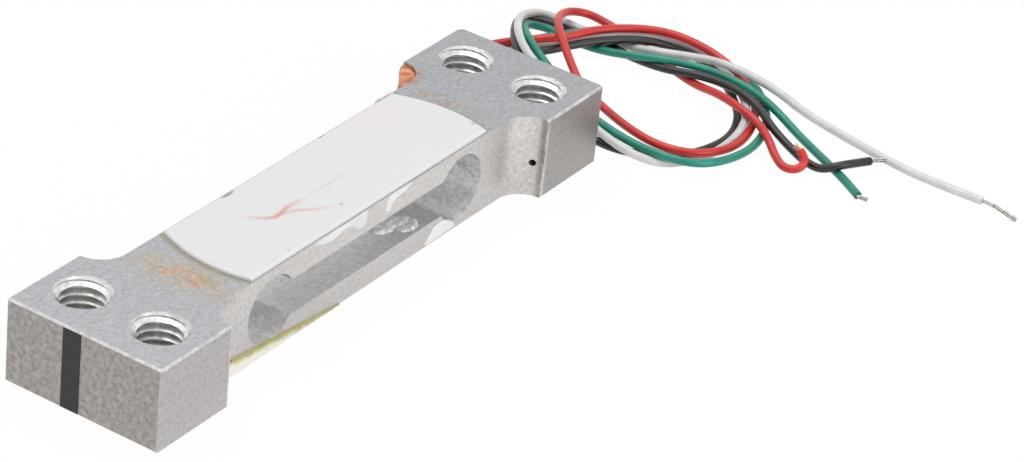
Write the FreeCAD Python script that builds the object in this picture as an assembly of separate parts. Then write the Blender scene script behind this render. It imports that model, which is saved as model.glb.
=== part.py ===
import FreeCAD, Part
import math
import os

# Single point load cell: an aluminium spring body with bonded strain gauges under silicone,
# and four loose leads. All lengths are millimetres.
# Frame: X runs along the bar from its load end to its fixed end, Y to the left, Z up.
# The origin is at the middle of the underside, on the surface that the cell stands on.

Vector = FreeCAD.Vector
ALONG_X = Vector(1, 0, 0)
ALONG_Y = Vector(0, 1, 0)
ALONG_Z = Vector(0, 0, 1)

# ---- Spring body: one machined bar -------------------------------------------------------
body_length = 80.0
body_width = 20.0
body_height = 10.0
edge_chamfer = 0.25
left_corner_radius = 1.0
right_corner_radius = 0.5

block_length = 11.3             # each end block, up to the notch
waist_width = 13.0              # the narrower middle of the bar
notch_corner_radius = 3.4

bore_radius = 4.0               # the two bores of the sensing window
bore_offset = 17.1              # from the middle of the bar to each bore
slot_height = 4.4               # the slot that joins the bores

hole_end_distance = 6.0         # from each end face to the mounting holes
hole_spacing = 10.0
thread_major_radius = 3.0       # M6
countersink_depth = 0.2         # at 90 degrees

pin_hole_radius = 0.4           # a small blind hole in the fixed end's right notch wall
pin_hole_depth = 3.0
pin_hole_inset = 1.4            # from the right side face
pin_hole_height = 4.2           # above the underside of the bar

# ---- Layers on the top and bottom faces, counted outwards from the metal ------------------
film_thickness = 0.05           # carrier film of a strain gauge
foil_thickness = 0.03           # its metal foil
board_thickness = 0.12          # flexible terminal board
solder_height = 0.18            # solder joints on that board
coat_cover = 0.10               # silicone over the highest solder joint
wire_diameter = 0.12            # enamelled wire

# ---- Strain gauges ------------------------------------------------------------------------
film_length = 6.6
film_width = 4.2
grid_lines = 6
grid_line_width = 0.2
grid_line_pitch = 0.4
grid_length = 3.4
grid_shift = 0.5                # the grid sits this far from the film's middle, away from the tabs
tab_length = 1.4
tab_width = 1.2
tab_spacing = 2.2
tab_distance = 2.2              # from the film's middle to the tabs

# ---- Terminal boards and solder joints ----------------------------------------------------
board_length = 13.1
board_width = 8.8
board_middle_x = 0.65
board_middle_y = -0.3
solder_base_radius = 0.42
solder_tip_radius = 0.24
lead_pad_x = 6.4                # column of pads toward the fixed end
first_lead_pad_y = 2.6
pad_pitch = 1.2
bridge_pad_y = 3.4              # row of pads toward the left side
bridge_wire_places = (-3.0, -1.0, 1.0, 3.0)
load_gauge_pads = ((-5.1, -0.4), (-2.3, -4.0))
link_pad = (-3.5, 0.1)
resistor_length = 2.0
resistor_width = 1.0
resistor_height = 0.18
resistor_place = (1.6, -2.2)

# ---- Enamelled wires ----------------------------------------------------------------------
# Bends between the gauges' tabs and their pads, on the load end's side and the fixed end's.
load_left_bends = ((-12.9, 2.2), (-11.6, 2.1), (-10.4, 0.3), (-9.1, -0.7), (-6.9, -0.3))
load_right_bends = ((-12.0, -1.9), (-9.2, -1.8), (-6.9, -1.2), (-5.1, -2.8), (-3.7, -3.6))
fixed_left_bends = ((11.5, 0.2), (8.6, -1.5))
fixed_right_bends = ((11.5, -1.7), (8.6, -2.9))
link_bends = ((-0.4, 0.35), (3.2, 0.0))

# Bends of the wires that go over the waist's left edge.
lane_entry_bends = ((0.6, -0.2), (3.0, 0.0))        # from the pad's X and the lane's Y
bridge_lane_bends = ((-3.0, -0.1), (-0.3, 0.2))     # from the crossing's X and the lane's Y
lead_lane_bends = ((-4.0, -0.5), (-0.3, 0.2))
edge_bends = ((-0.25, 0.2), (0.05, 0.11), (0.22, -0.2), (0.3, -0.9))  # out from waist, up from top
slope_drift = 0.1               # the bridge wires lean this far along below their slope
notch_approach = (-1.4, 1.5)    # in the notch's corner, from its end wall and the waist's side
notch_climb = (-0.42, 2.6)
notch_climb_drop = 0.3          # above the lead's height there
corner_pass = (-0.3, 0.2)       # round the notch's outer corner
corner_pass_drop = 0.05
corner_exit = 0.5               # past the corner the wires are in line with the leads
lead_order = ("green", "white", "black", "red")     # from the lowest to the highest
first_crossing_gap = 0.2        # from the sealant's start to the first wire over the left edge
crossing_pitch = 0.24
first_lane_gap = 0.75           # from the coat's side to the first wire's lane under it
lane_pitch = 0.34
slope_reach = 1.9               # on the waist's side the wires slope this far along and down

# ---- Silicone and adhesives ---------------------------------------------------------------
coat_side_gap = 0.2             # bare edge between the coats and the waist's sides
coat_load_left_reach = 2.3      # the coats' rounded ends, past the axis of the load end's bore
coat_load_middle_reach = 4.2
coat_load_right_reach = 3.6
coat_fixed_left_reach = 4.1     # and past the axis of the fixed end's bore
coat_fixed_middle_reach = 5.65
coat_fixed_right_reach = 4.7

sealant_thickness = 0.6         # on the waist's left side, between the fixed end's bore and notch
sealant_start_reach = 2.0       # past the axis of the fixed end's bore, along the coat's edge
sealant_bore_gap = 0.1          # it stays clear of the bore
sealant_edge_reach = 4.2        # over the top edge up to here
sealant_end_reach = 5.5         # where the anchor adhesive takes over
sealant_slope_drop = 2.8        # how far down its edge slopes beside the bore
sealant_end_drop = 0.7          # past the coat it stays this far below the coat's top
sealant_shoulder = 0.25         # where its rounded edge starts, out from the waist
sealant_shoulder_drop = 0.2
sealant_edge_drop = 0.8

anchor_bead_thickness = 1.3     # on the fixed end's left side
anchor_bead_low = 0.2           # above the underside of the bar
anchor_bead_high = 5.3
anchor_bead_rounding = 0.5
anchor_fill_gap = 0.25          # the corner fill stops short of the bar's top and underside
anchor_wrap = 1.1               # how far the bead wraps round the notch's corner
anchor_foot_length = 1.1        # along the waist, before the fill widens
anchor_lip = 0.5                # of the fill, beside the notch's corner
anchor_lip_slope = 0.05
anchor_length = 4.3             # along the fixed end, to the end face where the leads come out

bead_start_x = -24.5            # adhesive along the waist's lower right edge
bead_full_x = -23.8
bead_knee_x = -15.0
bead_end_x = -5.0
bead_height = 2.0
bead_knee_height = 1.2
bead_end_height = 0.15
bead_thickness = 0.35

residue_thickness = 0.25        # silicone left in the slot
residue_outline = ((3.9, -5.9), (6.4, -6.2), (9.1, -5.4), (8.8, -3.3), (6.2, -2.7), (4.3, -3.6))
smear_thickness = 0.08          # silicone wiped over the waist's right side
smear_outlines = (
    ((-9.6, 9.9), (-8.6, 8.7), (-5.4, 8.4), (-3.0, 8.9), (-2.9, 9.9)),
    ((-2.5, 9.9), (-2.2, 8.3), (0.3, 7.9), (1.6, 8.6), (3.0, 8.0), (3.1, 9.9)),
    ((11.4, 0.1), (12.3, 1.9), (14.6, 2.2), (16.6, 1.2), (16.8, 0.1)),
)

tape_width = 2.3                # marker strip on the load end's face
tape_thickness = 0.06
tape_middle_y = 1.42

# ---- Leads --------------------------------------------------------------------------------
lead_diameter = 1.0
strand_bundle_diameter = 0.45
splice_radius = 0.35
splice_length = 2.5
lead_stand_off = 0.6            # from the fixed end's left side to the leads' axes

# Routes of the leads, to the end of the insulation. X and Y start at the leads' exit from the
# anchor's end face, and Z is the height above the surface that the cell stands on.
lead_routes = {
    "red": (
        (0.0, 0.0, 4.9), (2.4, 0.0, 4.9), (5.5, 0.5, 4.0), (9.0, 1.7, 2.1),
        (13.0, 3.0, 1.5), (17.6, 4.0, 1.5), (21.6, 2.6, 1.5), (24.4, -0.4, 1.9),
        (26.6, -3.3, 2.4), (30.3, -5.1, 2.65), (33.8, -8.0, 2.65), (36.5, -11.5, 2.4),
        (37.6, -15.5, 1.6), (37.7, -19.6, 0.7), (35.1, -24.1, 0.5), (31.0, -27.6, 0.5),
        (26.2, -30.1, 0.5), (20.9, -31.2, 0.9), (16.3, -30.4, 1.5), (13.9, -27.8, 1.6),
        (13.4, -23.9, 1.6), (14.8, -19.3, 1.5), (16.7, -15.0, 1.5), (17.9, -11.2, 2.2),
        (20.2, -8.2, 3.0), (23.2, -5.0, 3.6), (26.8, -1.7, 3.6), (30.4, 0.3, 2.6),
        (33.2, 0.5, 2.0), (35.2, -0.9, 1.4), (35.8, -3.6, 0.6), (35.1, -7.6, 0.5),
        (33.3, -11.8, 0.5), (31.7, -15.8, 0.5), (30.5, -19.6, 0.5), (29.2, -23.4, 1.4),
        (27.8, -27.2, 1.6), (26.1, -30.5, 1.65), (24.1, -33.3, 1.5), (22.3, -35.8, 0.8),
        (21.2, -38.0, 0.5), (21.7, -39.6, 0.9), (23.2, -39.9, 1.65), (24.1, -38.7, 2.0),
    ),
    "black": (
        (0.0, 0.0, 3.75), (2.3, 0.0, 3.75), (5.1, 0.1, 2.9), (8.8, 0.6, 0.7),
        (13.0, 1.4, 0.5), (17.6, 1.6, 0.5), (21.6, 0.4, 0.5), (24.6, -2.0, 0.9),
        (28.2, -4.4, 1.6), (31.9, -6.9, 1.65), (34.6, -10.2, 1.6), (36.0, -13.8, 0.7),
        (35.4, -17.5, 0.5), (33.1, -21.0, 0.5), (30.1, -24.5, 0.5), (26.4, -27.3, 0.5),
        (22.4, -28.8, 0.5), (18.3, -28.7, 0.5), (14.9, -27.2, 0.5), (12.5, -24.6, 0.5),
        (11.0, -21.4, 0.5), (9.9, -18.0, 0.5), (9.0, -14.4, 0.6), (9.0, -10.4, 1.2),
        (10.8, -6.3, 2.0), (14.4, -2.4, 2.6), (19.0, 0.8, 2.8), (23.2, 3.2, 2.5),
        (26.6, 4.6, 1.2), (29.2, 4.5, 0.5), (31.2, 3.2, 0.5), (32.0, 0.8, 0.5),
        (32.1, -2.4, 0.5), (31.7, -6.0, 0.5), (31.2, -9.8, 0.5), (30.5, -14.6, 0.5),
        (30.5, -18.2, 1.6), (31.2, -21.8, 1.6), (31.2, -25.8, 1.6), (29.8, -29.2, 1.6),
        (27.6, -32.5, 1.4), (25.3, -35.7, 0.6), (23.9, -38.5, 0.5), (23.3, -41.0, 0.6),
        (24.1, -43.0, 1.65), (26.2, -43.9, 1.45), (28.2, -44.7, 1.2),
    ),
    "white": (
        (0.0, 0.0, 2.55), (2.2, 0.0, 2.55), (5.2, 1.1, 1.5), (9.0, 2.0, 0.5),
        (13.0, 2.9, 0.5), (17.6, 3.2, 0.5), (22.0, 1.8, 0.5), (25.4, -0.7, 1.0),
        (29.2, -3.4, 1.6), (33.1, -6.3, 1.6), (36.0, -10.0, 1.5), (37.2, -14.2, 0.5),
        (36.5, -18.2, 0.5), (34.2, -22.0, 0.5), (30.9, -25.5, 0.5), (26.9, -28.4, 0.5),
        (22.4, -29.9, 0.5), (18.0, -29.8, 0.5), (14.4, -28.6, 0.5), (11.6, -26.4, 0.5),
        (10.0, -23.2, 1.3), (9.9, -19.4, 1.6), (10.2, -15.6, 1.6), (10.4, -11.4, 1.5),
        (11.8, -7.6, 2.2), (15.2, -3.9, 2.8), (19.6, -0.8, 2.9), (23.8, 1.8, 2.7),
        (27.2, 3.8, 2.2), (30.0, 4.8, 1.7), (32.3, 4.2, 1.0), (33.4, 1.9, 0.5),
        (33.4, -1.2, 0.5), (33.2, -4.8, 0.5), (33.0, -8.6, 0.5), (32.4, -12.2, 1.6),
        (34.1, -15.6, 1.6), (35.6, -19.2, 1.65), (35.6, -23.5, 1.6), (34.8, -28.0, 1.45),
        (33.9, -32.5, 0.5), (32.5, -38.0, 0.5), (31.1, -44.4, 0.5), (30.1, -51.5, 0.5),
        (30.5, -58.4, 0.5),
    ),
    "green": (
        (0.0, 0.0, 1.4), (2.3, 0.0, 1.4), (5.2, 2.1, 0.5), (8.9, 3.5, 0.5),
        (13.0, 4.3, 0.5), (17.8, 4.6, 0.5), (22.2, 3.3, 0.5), (26.2, 0.6, 1.4),
        (30.2, -2.4, 1.6), (34.2, -5.6, 1.65), (37.6, -9.6, 1.4), (39.3, -14.6, 0.5),
        (38.8, -20.2, 0.5), (36.0, -25.2, 0.5), (31.6, -29.1, 0.5), (26.6, -31.5, 0.5),
        (21.2, -32.8, 0.7), (16.3, -32.5, 1.4), (12.9, -30.7, 1.6), (11.6, -27.4, 1.7),
        (11.6, -23.5, 1.6), (12.6, -19.3, 1.6), (12.6, -15.0, 1.6), (12.3, -10.8, 1.8),
        (14.2, -7.2, 2.4), (17.6, -4.4, 2.9), (21.6, -1.8, 3.0), (24.9, 0.7, 2.9),
        (27.1, 2.3, 1.9), (29.1, 2.6, 1.0), (30.6, 1.2, 0.5), (30.5, -1.2, 0.5),
        (29.6, -5.9, 0.5), (29.8, -10.0, 1.3), (31.1, -14.7, 1.7), (32.7, -18.8, 1.6),
        (33.1, -22.8, 1.65), (32.6, -26.8, 1.65), (31.2, -31.0, 1.5), (29.1, -35.0, 0.5),
        (26.4, -39.7, 0.5), (23.8, -44.3, 0.5), (22.0, -47.0, 0.5),
    ),
}

# Bare conductors: a straight start in line with the insulation, then the tip's end point.
strand_starts = {"red": 0.35, "black": 0.6, "white": 1.6, "green": 0.7}
strand_ends = {
    "red": (24.5, -38.1, 2.3),
    "black": (30.1, -45.9, 1.0),
    "white": (29.6, -63.2, 0.3),
    "green": (20.7, -48.8, 0.35),
}

# ---- Sizes that follow from the ones above ------------------------------------------------
coat_thickness = board_thickness + solder_height + coat_cover
joint_top = board_thickness + solder_height
wire_level = board_thickness + solder_height / 2
body_bottom = coat_thickness
body_top = body_bottom + body_height
body_middle = (body_bottom + body_top) / 2
top_coat_top = body_top + coat_thickness
end_x = body_length / 2
side_y = body_width / 2
waist_y = waist_width / 2
notch_x = end_x - block_length
coat_y = waist_y - coat_side_gap
sealant_y = waist_y + sealant_thickness
lead_axis_y = side_y + lead_stand_off
hidden_wire_y = waist_y + sealant_thickness / 2
anchor_end_x = notch_x + anchor_length
sealant_start_x = bore_offset + sealant_start_reach
sealant_end_x = bore_offset + sealant_end_reach
first_crossing_x = sealant_start_x + first_crossing_gap
overshoot = 1.0                 # how far a cutting tool runs past what it cuts


def placed(point):
    """A point given from the leads' exit, in the frame of the whole cell."""
    return (anchor_end_x + point[0], lead_axis_y + point[1], point[2])


def lead_route(colour):
    """The points of one lead, from the anchor's end face on."""
    return [placed(point) for point in lead_routes[colour]]


# ---- Helpers ------------------------------------------------------------------------------
def box(low, high):
    """A box between two opposite corners."""
    size = Vector(*high) - Vector(*low)
    return Part.makeBox(size.x, size.y, size.z, Vector(*low))


def prism(points, direction):
    """A prism on a closed polygon."""
    corners = [Vector(*point) for point in points]
    return Part.Face(Part.makePolygon(corners + corners[:1])).extrude(direction)


def vertical_edges(shape, x, y):
    """The edges along Z that stand at one place of the plan."""
    found = []
    for edge in shape.Edges:
        low = edge.BoundBox
        is_upright = low.XLength < 1e-6 and low.YLength < 1e-6
        if is_upright and abs(low.XMin - x) < 1e-6 and abs(low.YMin - y) < 1e-6:
            found.append(edge)
    return found


def flipped(shape):
    """What sits on the top face, turned over onto the underside."""
    return shape.mirror(Vector(0, 0, body_middle), ALONG_Z)


def corner_radius(before, corner, after):
    """The arc radius at a route's corner, and the turn there."""
    incoming = corner - before
    outgoing = after - corner
    turn = incoming.getAngle(outgoing)
    return 0.45 * min(incoming.Length, outgoing.Length) / math.tan(turn / 2), turn


def rounded_path(points):
    """Straight runs joined by tangent arcs, as one wire."""
    corners = [Vector(*point) for point in points]
    edges = []
    start = corners[0]
    for before, corner, after in zip(corners, corners[1:], corners[2:]):
        radius, turn = corner_radius(before, corner, after)
        back = (before - corner).normalize()
        onward = (after - corner).normalize()
        reach = radius * math.tan(turn / 2)
        arc_start = corner + back * reach
        arc_end = corner + onward * reach
        inward = (back + onward).normalize()
        arc_middle = corner + inward * (radius / math.cos(turn / 2) - radius)
        edges.append(Part.LineSegment(start, arc_start).toShape())
        edges.append(Part.Arc(arc_start, arc_middle, arc_end).toShape())
        start = arc_end
    edges.append(Part.LineSegment(start, corners[-1]).toShape())
    return Part.Wire(edges)


def tube(points, diameter):
    """A round solid along a route of runs and arcs, and the length of its axis."""
    path = rounded_path(points)
    start = Vector(*points[0])
    heading = Vector(*points[1]) - start
    section = Part.Wire([Part.Circle(start, heading, diameter / 2).toShape()])
    solid = path.makePipeShell([section], True, False)
    return solid, path.Length


def wires(routes):
    """Enamelled wires, one solid for each route."""
    return [tube(route, wire_diameter)[0] for route in routes]


def solder_joint(place, base):
    """A small cone of solder, from a surface up to the common height of the joints."""
    height = joint_top - base
    foot = Vector(place[0], place[1], body_top + base)
    return Part.makeCone(solder_base_radius, solder_tip_radius, height, foot)


# ---- Spring body --------------------------------------------------------------------------
def bar_blank():
    """The bar's outside, with its rounded far corners and chamfered edges."""
    bar = box((-end_x, -side_y, body_bottom), (end_x, side_y, body_top))
    bar = bar.makeFillet(left_corner_radius, vertical_edges(bar, end_x, side_y))
    bar = bar.makeFillet(right_corner_radius, vertical_edges(bar, end_x, -side_y))
    rims = []
    for edge in bar.Edges:
        span = edge.BoundBox
        if span.ZLength < 1e-6:
            rims.append(edge)
    bar = bar.makeChamfer(edge_chamfer, rims)
    load_corners = vertical_edges(bar, -end_x, side_y) + vertical_edges(bar, -end_x, -side_y)
    return bar.makeChamfer(edge_chamfer, load_corners)


def notch(side):
    """The tool that cuts one side notch, with rounded inner corners."""
    depth = side_y - waist_y + notch_corner_radius + overshoot
    low_y = waist_y if side > 0 else -waist_y - depth
    tool = box(
        (-notch_x, low_y, body_bottom - overshoot),
        (notch_x, low_y + depth, body_top + overshoot),
    )
    inner = vertical_edges(tool, -notch_x, side * waist_y)
    inner += vertical_edges(tool, notch_x, side * waist_y)
    return tool.makeFillet(notch_corner_radius, inner)


def sensing_window():
    """Two bores across the bar and the slot that joins them."""
    start_y = -side_y - overshoot
    reach = body_width + 2 * overshoot
    tools = []
    for direction in (-1, 1):
        middle = Vector(direction * bore_offset, start_y, body_middle)
        tools.append(Part.makeCylinder(bore_radius, reach, middle, ALONG_Y))
    slot = box(
        (-bore_offset, start_y, body_middle - slot_height / 2),
        (bore_offset, start_y + reach, body_middle + slot_height / 2),
    )
    return tools[0].fuse([tools[1], slot])


def mounting_holes():
    """Four through holes at the thread's major diameter, countersunk on both faces."""
    tools = []
    mouth_radius = thread_major_radius + countersink_depth
    for end in (-1, 1):
        for side in (-1, 1):
            x = end * (end_x - hole_end_distance)
            y = side * hole_spacing / 2
            low = Vector(x, y, body_bottom)
            high = Vector(x, y, body_top)
            tools.append(Part.makeCylinder(thread_major_radius, body_height, low))
            tools.append(Part.makeCone(mouth_radius, thread_major_radius, countersink_depth, low))
            tools.append(
                Part.makeCone(mouth_radius, thread_major_radius, countersink_depth, high, -ALONG_Z)
            )
    return tools


def pin_hole():
    """The small blind hole, drilled along the bar into the fixed end."""
    length = pin_hole_depth + notch_corner_radius
    start = Vector(
        notch_x - notch_corner_radius,
        -side_y + pin_hole_inset,
        body_bottom + pin_hole_height,
    )
    return Part.makeCylinder(pin_hole_radius, length, start, ALONG_X)


def spring_body():
    """The machined bar."""
    return bar_blank().cut([notch(1), notch(-1), sensing_window(), *mounting_holes(), pin_hole()])


# ---- Strain gauges and terminal boards ----------------------------------------------------
def strain_gauge(end):
    """A carrier film with its foil grid and two tabs, over one bore on the top face."""
    middle_x = end * bore_offset

    def layer(x_low, x_high, y_low, y_high, z_low, z_high):
        xs = sorted((middle_x + end * x_low, middle_x + end * x_high))
        return box((xs[0], y_low, body_top + z_low), (xs[1], y_high, body_top + z_high))

    foil_top = film_thickness + foil_thickness
    film = layer(-film_length / 2, film_length / 2, -film_width / 2, film_width / 2, 0, film_thickness)
    grid_low = grid_shift - grid_length / 2
    grid_high = grid_shift + grid_length / 2
    foil = []
    for index in range(grid_lines):
        y = (index - (grid_lines - 1) / 2) * grid_line_pitch
        is_outer = index in (0, grid_lines - 1)
        low = -tab_distance if is_outer else grid_low
        line_y = (y - grid_line_width / 2, y + grid_line_width / 2)
        foil.append(layer(low, grid_high, *line_y, film_thickness, foil_top))
        if index < grid_lines - 1:
            turn_x = grid_high if index % 2 == 0 else grid_low + grid_line_width
            loop_y = (line_y[0], line_y[1] + grid_line_pitch)
            loop_x = (turn_x - grid_line_width, turn_x)
            foil.append(layer(*loop_x, *loop_y, film_thickness, foil_top))
    for side in (-1, 1):
        y = side * tab_spacing / 2
        tab_x = (-tab_distance - tab_length / 2, -tab_distance + tab_length / 2)
        tab_y = (y - tab_width / 2, y + tab_width / 2)
        foil.append(layer(*tab_x, *tab_y, film_thickness, foil_top))
    return film.fuse(foil).removeSplitter()


def terminal_board():
    """The flexible board in the middle of the top face."""
    low = (board_middle_x - board_length / 2, board_middle_y - board_width / 2, body_top)
    high = (low[0] + board_length, low[1] + board_width, body_top + board_thickness)
    return box(low, high)


def tab_place(end, side):
    """The middle of one gauge tab."""
    return (end * (bore_offset - tab_distance), side * tab_spacing / 2)


def lead_pad(row):
    """A pad of the column toward the fixed end: rows 0 to 3 for the leads, 4 and 5 for a gauge."""
    return (lead_pad_x, first_lead_pad_y - row * pad_pitch)


def solder_joints(extra_pads):
    """The joints of one face: gauge tabs, gauge pads, bridge pads and any more."""
    tabs = [tab_place(end, side) for end in (-1, 1) for side in (-1, 1)]
    pads = [*load_gauge_pads, lead_pad(4), lead_pad(5), *extra_pads]
    pads += [(x, bridge_pad_y) for x in bridge_wire_places]
    tab_base = film_thickness + foil_thickness
    joints = [solder_joint(place, tab_base) for place in tabs]
    return joints + [solder_joint(place, board_thickness) for place in pads]


def zero_balance_resistor():
    """A small trimming resistor on the board."""
    x, y = resistor_place
    low = (x - resistor_length / 2, y - resistor_width / 2, body_top + board_thickness)
    high = (low[0] + resistor_length, low[1] + resistor_width, low[2] + resistor_height)
    return box(low, high)


# ---- Enamelled wires ----------------------------------------------------------------------
def level_route(places):
    """A route on the top face at the wires' common level."""
    return [(x, y, body_top + wire_level) for x, y in places]


def gauge_jumper_routes():
    """From the gauges' tabs to the board."""
    return [
        level_route([tab_place(-1, 1), *load_left_bends, load_gauge_pads[0]]),
        level_route([tab_place(-1, -1), *load_right_bends, load_gauge_pads[1]]),
        level_route([tab_place(1, 1), *fixed_left_bends, lead_pad(4)]),
        level_route([tab_place(1, -1), *fixed_right_bends, lead_pad(5)]),
    ]


def link_route():
    """A tinned link on the top board."""
    return level_route([link_pad, *link_bends, lead_pad(2)])


def over_left_edge(x):
    """Points that carry a wire over the top left edge and onto the waist's side."""
    return [(x, waist_y + out, body_top + up) for out, up in edge_bends]


def crossing(row):
    """Where one of the wires crosses the left edge, and the Y of its lane under the coat."""
    return first_crossing_x + row * crossing_pitch, coat_y - first_lane_gap - row * lane_pitch


def bridge_wire_routes():
    """From the top board round the waist's left side to the bottom board."""
    routes = []
    for row, x in enumerate(bridge_wire_places):
        crossing_x, lane_y = crossing(row)
        lane = [(x, bridge_pad_y)]
        lane += [(x + along, lane_y + aside) for along, aside in lane_entry_bends]
        lane += [(crossing_x + along, lane_y + aside) for along, aside in bridge_lane_bends]
        slope_end_x = crossing_x + slope_reach
        slope_end = (slope_end_x, hidden_wire_y, body_top + edge_bends[-1][1] - slope_reach)
        down = [*level_route(lane), *over_left_edge(crossing_x), slope_end]
        up = [(px, py, 2 * body_middle - pz) for px, py, pz in reversed(down)]
        routes.append([*down, (slope_end_x + slope_drift, hidden_wire_y, body_middle), *up])
    return routes


def lead_wire_routes():
    """From the top board over the left edge, down the waist and into the anchor adhesive."""
    routes = []
    for row, colour in enumerate(lead_order):
        crossing_x, lane_y = crossing(len(bridge_wire_places) + row)
        lane = [lead_pad(row)]
        lane += [(crossing_x + along, lane_y + aside) for along, aside in lead_lane_bends]
        lead_z = lead_route(colour)[0][2]
        slope_x = crossing_x + slope_reach
        slope_z = body_top + edge_bends[-1][1] - slope_reach
        approach_x = notch_x + notch_approach[0]
        approach_y = waist_y + notch_approach[1]
        routes.append([
            *level_route(lane),
            *over_left_edge(crossing_x),
            (slope_x, hidden_wire_y, slope_z),
            (
                (slope_x + approach_x) / 2,
                (waist_y + hidden_wire_y + approach_y) / 3,
                (2 * slope_z + lead_z) / 3,
            ),
            (approach_x, approach_y, (slope_z + 2 * lead_z) / 3),
            (notch_x + notch_climb[0], waist_y + notch_climb[1], lead_z + notch_climb_drop),
            (notch_x + corner_pass[0], side_y + corner_pass[1], lead_z + corner_pass_drop),
            (notch_x + corner_exit, lead_axis_y, lead_z),
            (anchor_end_x - splice_length, lead_axis_y, lead_z),
        ])
    return routes


# ---- Silicone coats and sealant -----------------------------------------------------------
def coat_blank():
    """The top coat before its contents are cut out of it."""
    def at(x, y):
        return Vector(x, y, body_top)

    load_left = at(-bore_offset - coat_load_left_reach, coat_y)
    load_middle = at(-bore_offset - coat_load_middle_reach, 0)
    load_right = at(-bore_offset - coat_load_right_reach, -coat_y)
    fixed_left = at(bore_offset + coat_fixed_left_reach, coat_y)
    fixed_middle = at(bore_offset + coat_fixed_middle_reach, 0)
    fixed_right = at(bore_offset + coat_fixed_right_reach, -coat_y)
    outline = Part.Wire([
        Part.LineSegment(load_right, fixed_right).toShape(),
        Part.Arc(fixed_right, fixed_middle, fixed_left).toShape(),
        Part.LineSegment(fixed_left, load_left).toShape(),
        Part.Arc(load_left, load_middle, load_right).toShape(),
    ])
    return Part.Face(outline).extrude(ALONG_Z * coat_thickness)


def side_sealant_blank():
    """Silicone over the wires on the waist's left side, before they are cut out of it."""
    top_edge = [
        (waist_y, body_top),
        (coat_y, body_top),
        (coat_y, top_coat_top),
        (waist_y + sealant_shoulder, top_coat_top - sealant_shoulder_drop),
        (sealant_y, top_coat_top - sealant_edge_drop),
    ]
    bottom_edge = [(y, 2 * body_middle - z) for y, z in reversed(top_edge)]
    section = [(sealant_start_x, y, z) for y, z in top_edge + bottom_edge]
    bore_edge_x = bore_offset + bore_radius + sealant_bore_gap
    edge_end_x = bore_offset + sealant_edge_reach
    upper_half = [
        (bore_edge_x, top_coat_top - sealant_slope_drop),
        (sealant_start_x, top_coat_top - sealant_edge_drop),
        (sealant_start_x, top_coat_top),
        (edge_end_x, top_coat_top),
        (edge_end_x + sealant_end_drop, top_coat_top - sealant_end_drop),
        (sealant_end_x, top_coat_top - sealant_end_drop),
    ]
    lower_half = [(x, 2 * body_middle - z) for x, z in reversed(upper_half)]
    outline = [(x, coat_y, z) for x, z in upper_half + lower_half]
    length = sealant_end_x - sealant_start_x
    return prism(section, ALONG_X * length).common(prism(outline, ALONG_Y * (sealant_y - coat_y)))


# ---- Adhesives and residues ---------------------------------------------------------------
def anchor_blank():
    """Adhesive in the notch's corner and along the fixed end, before its contents are cut out."""
    outer_y = side_y + anchor_bead_thickness
    fill_low = body_bottom + anchor_fill_gap
    fill_outline = [
        (sealant_end_x, waist_y, fill_low),
        (notch_x, waist_y, fill_low),
        (notch_x, side_y, fill_low),
        (notch_x - anchor_lip, side_y - anchor_lip_slope, fill_low),
        (sealant_end_x + anchor_foot_length, sealant_y, fill_low),
        (sealant_end_x, sealant_y, fill_low),
    ]
    fill = prism(fill_outline, ALONG_Z * (body_height - 2 * anchor_fill_gap))
    bead_low = body_bottom + anchor_bead_low
    bead_high = body_bottom + anchor_bead_high
    bead = box(
        (notch_x - anchor_wrap, side_y - anchor_wrap, bead_low),
        (anchor_end_x, outer_y, bead_high),
    )
    long_edges = []
    for edge in bead.Edges:
        span = edge.BoundBox
        if span.YMin > outer_y - 1e-6 and span.ZLength < 1e-6:
            long_edges.append(edge)
    bead = bead.makeFillet(anchor_bead_rounding, long_edges)
    return fill.fuse(bead)


def lower_edge_bead():
    """A tapering bead of adhesive along the waist's lower right edge."""
    low_z = body_bottom - coat_cover
    outline = [
        (bead_start_x, low_z),
        (bead_full_x, body_bottom + bead_height),
        (bead_knee_x, body_bottom + bead_knee_height),
        (bead_end_x, body_bottom + bead_end_height),
        (bead_end_x, low_z),
    ]
    return prism([(x, -waist_y, z) for x, z in outline], ALONG_Y * -bead_thickness)


def slot_residue():
    """Silicone left on the floor of the slot."""
    floor = body_middle - slot_height / 2
    return prism([(x, y, floor) for x, y in residue_outline], ALONG_Z * residue_thickness)


def side_smears():
    """Thin smears of silicone on the waist's right side."""
    smears = []
    for outline in smear_outlines:
        corners = [(x, -waist_y, body_bottom + z) for x, z in outline]
        smears.append(prism(corners, ALONG_Y * -smear_thickness).cut(sensing_window()))
    return smears


def marker_tape():
    """The dark strip on the load end's face."""
    return box(
        (-end_x - tape_thickness, tape_middle_y - tape_width / 2, body_bottom + edge_chamfer),
        (-end_x, tape_middle_y + tape_width / 2, body_top - edge_chamfer),
    )


# ---- Leads --------------------------------------------------------------------------------
def lead_splices():
    """Soldered splices inside the anchor adhesive, one behind each lead."""
    splices = []
    for colour in lead_order:
        start = Vector(*lead_route(colour)[0]) - ALONG_X * splice_length
        splices.append(Part.makeCylinder(splice_radius, splice_length, start, ALONG_X))
    return splices


def bare_strands(colour):
    """The bare conductor past the end of the insulation."""
    before, last = (Vector(*point) for point in lead_route(colour)[-2:])
    start = last + (last - before).normalize() * strand_starts[colour]
    route = [tuple(last), tuple(start), placed(strand_ends[colour])]
    return tube(route, strand_bundle_diameter)[0]


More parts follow.
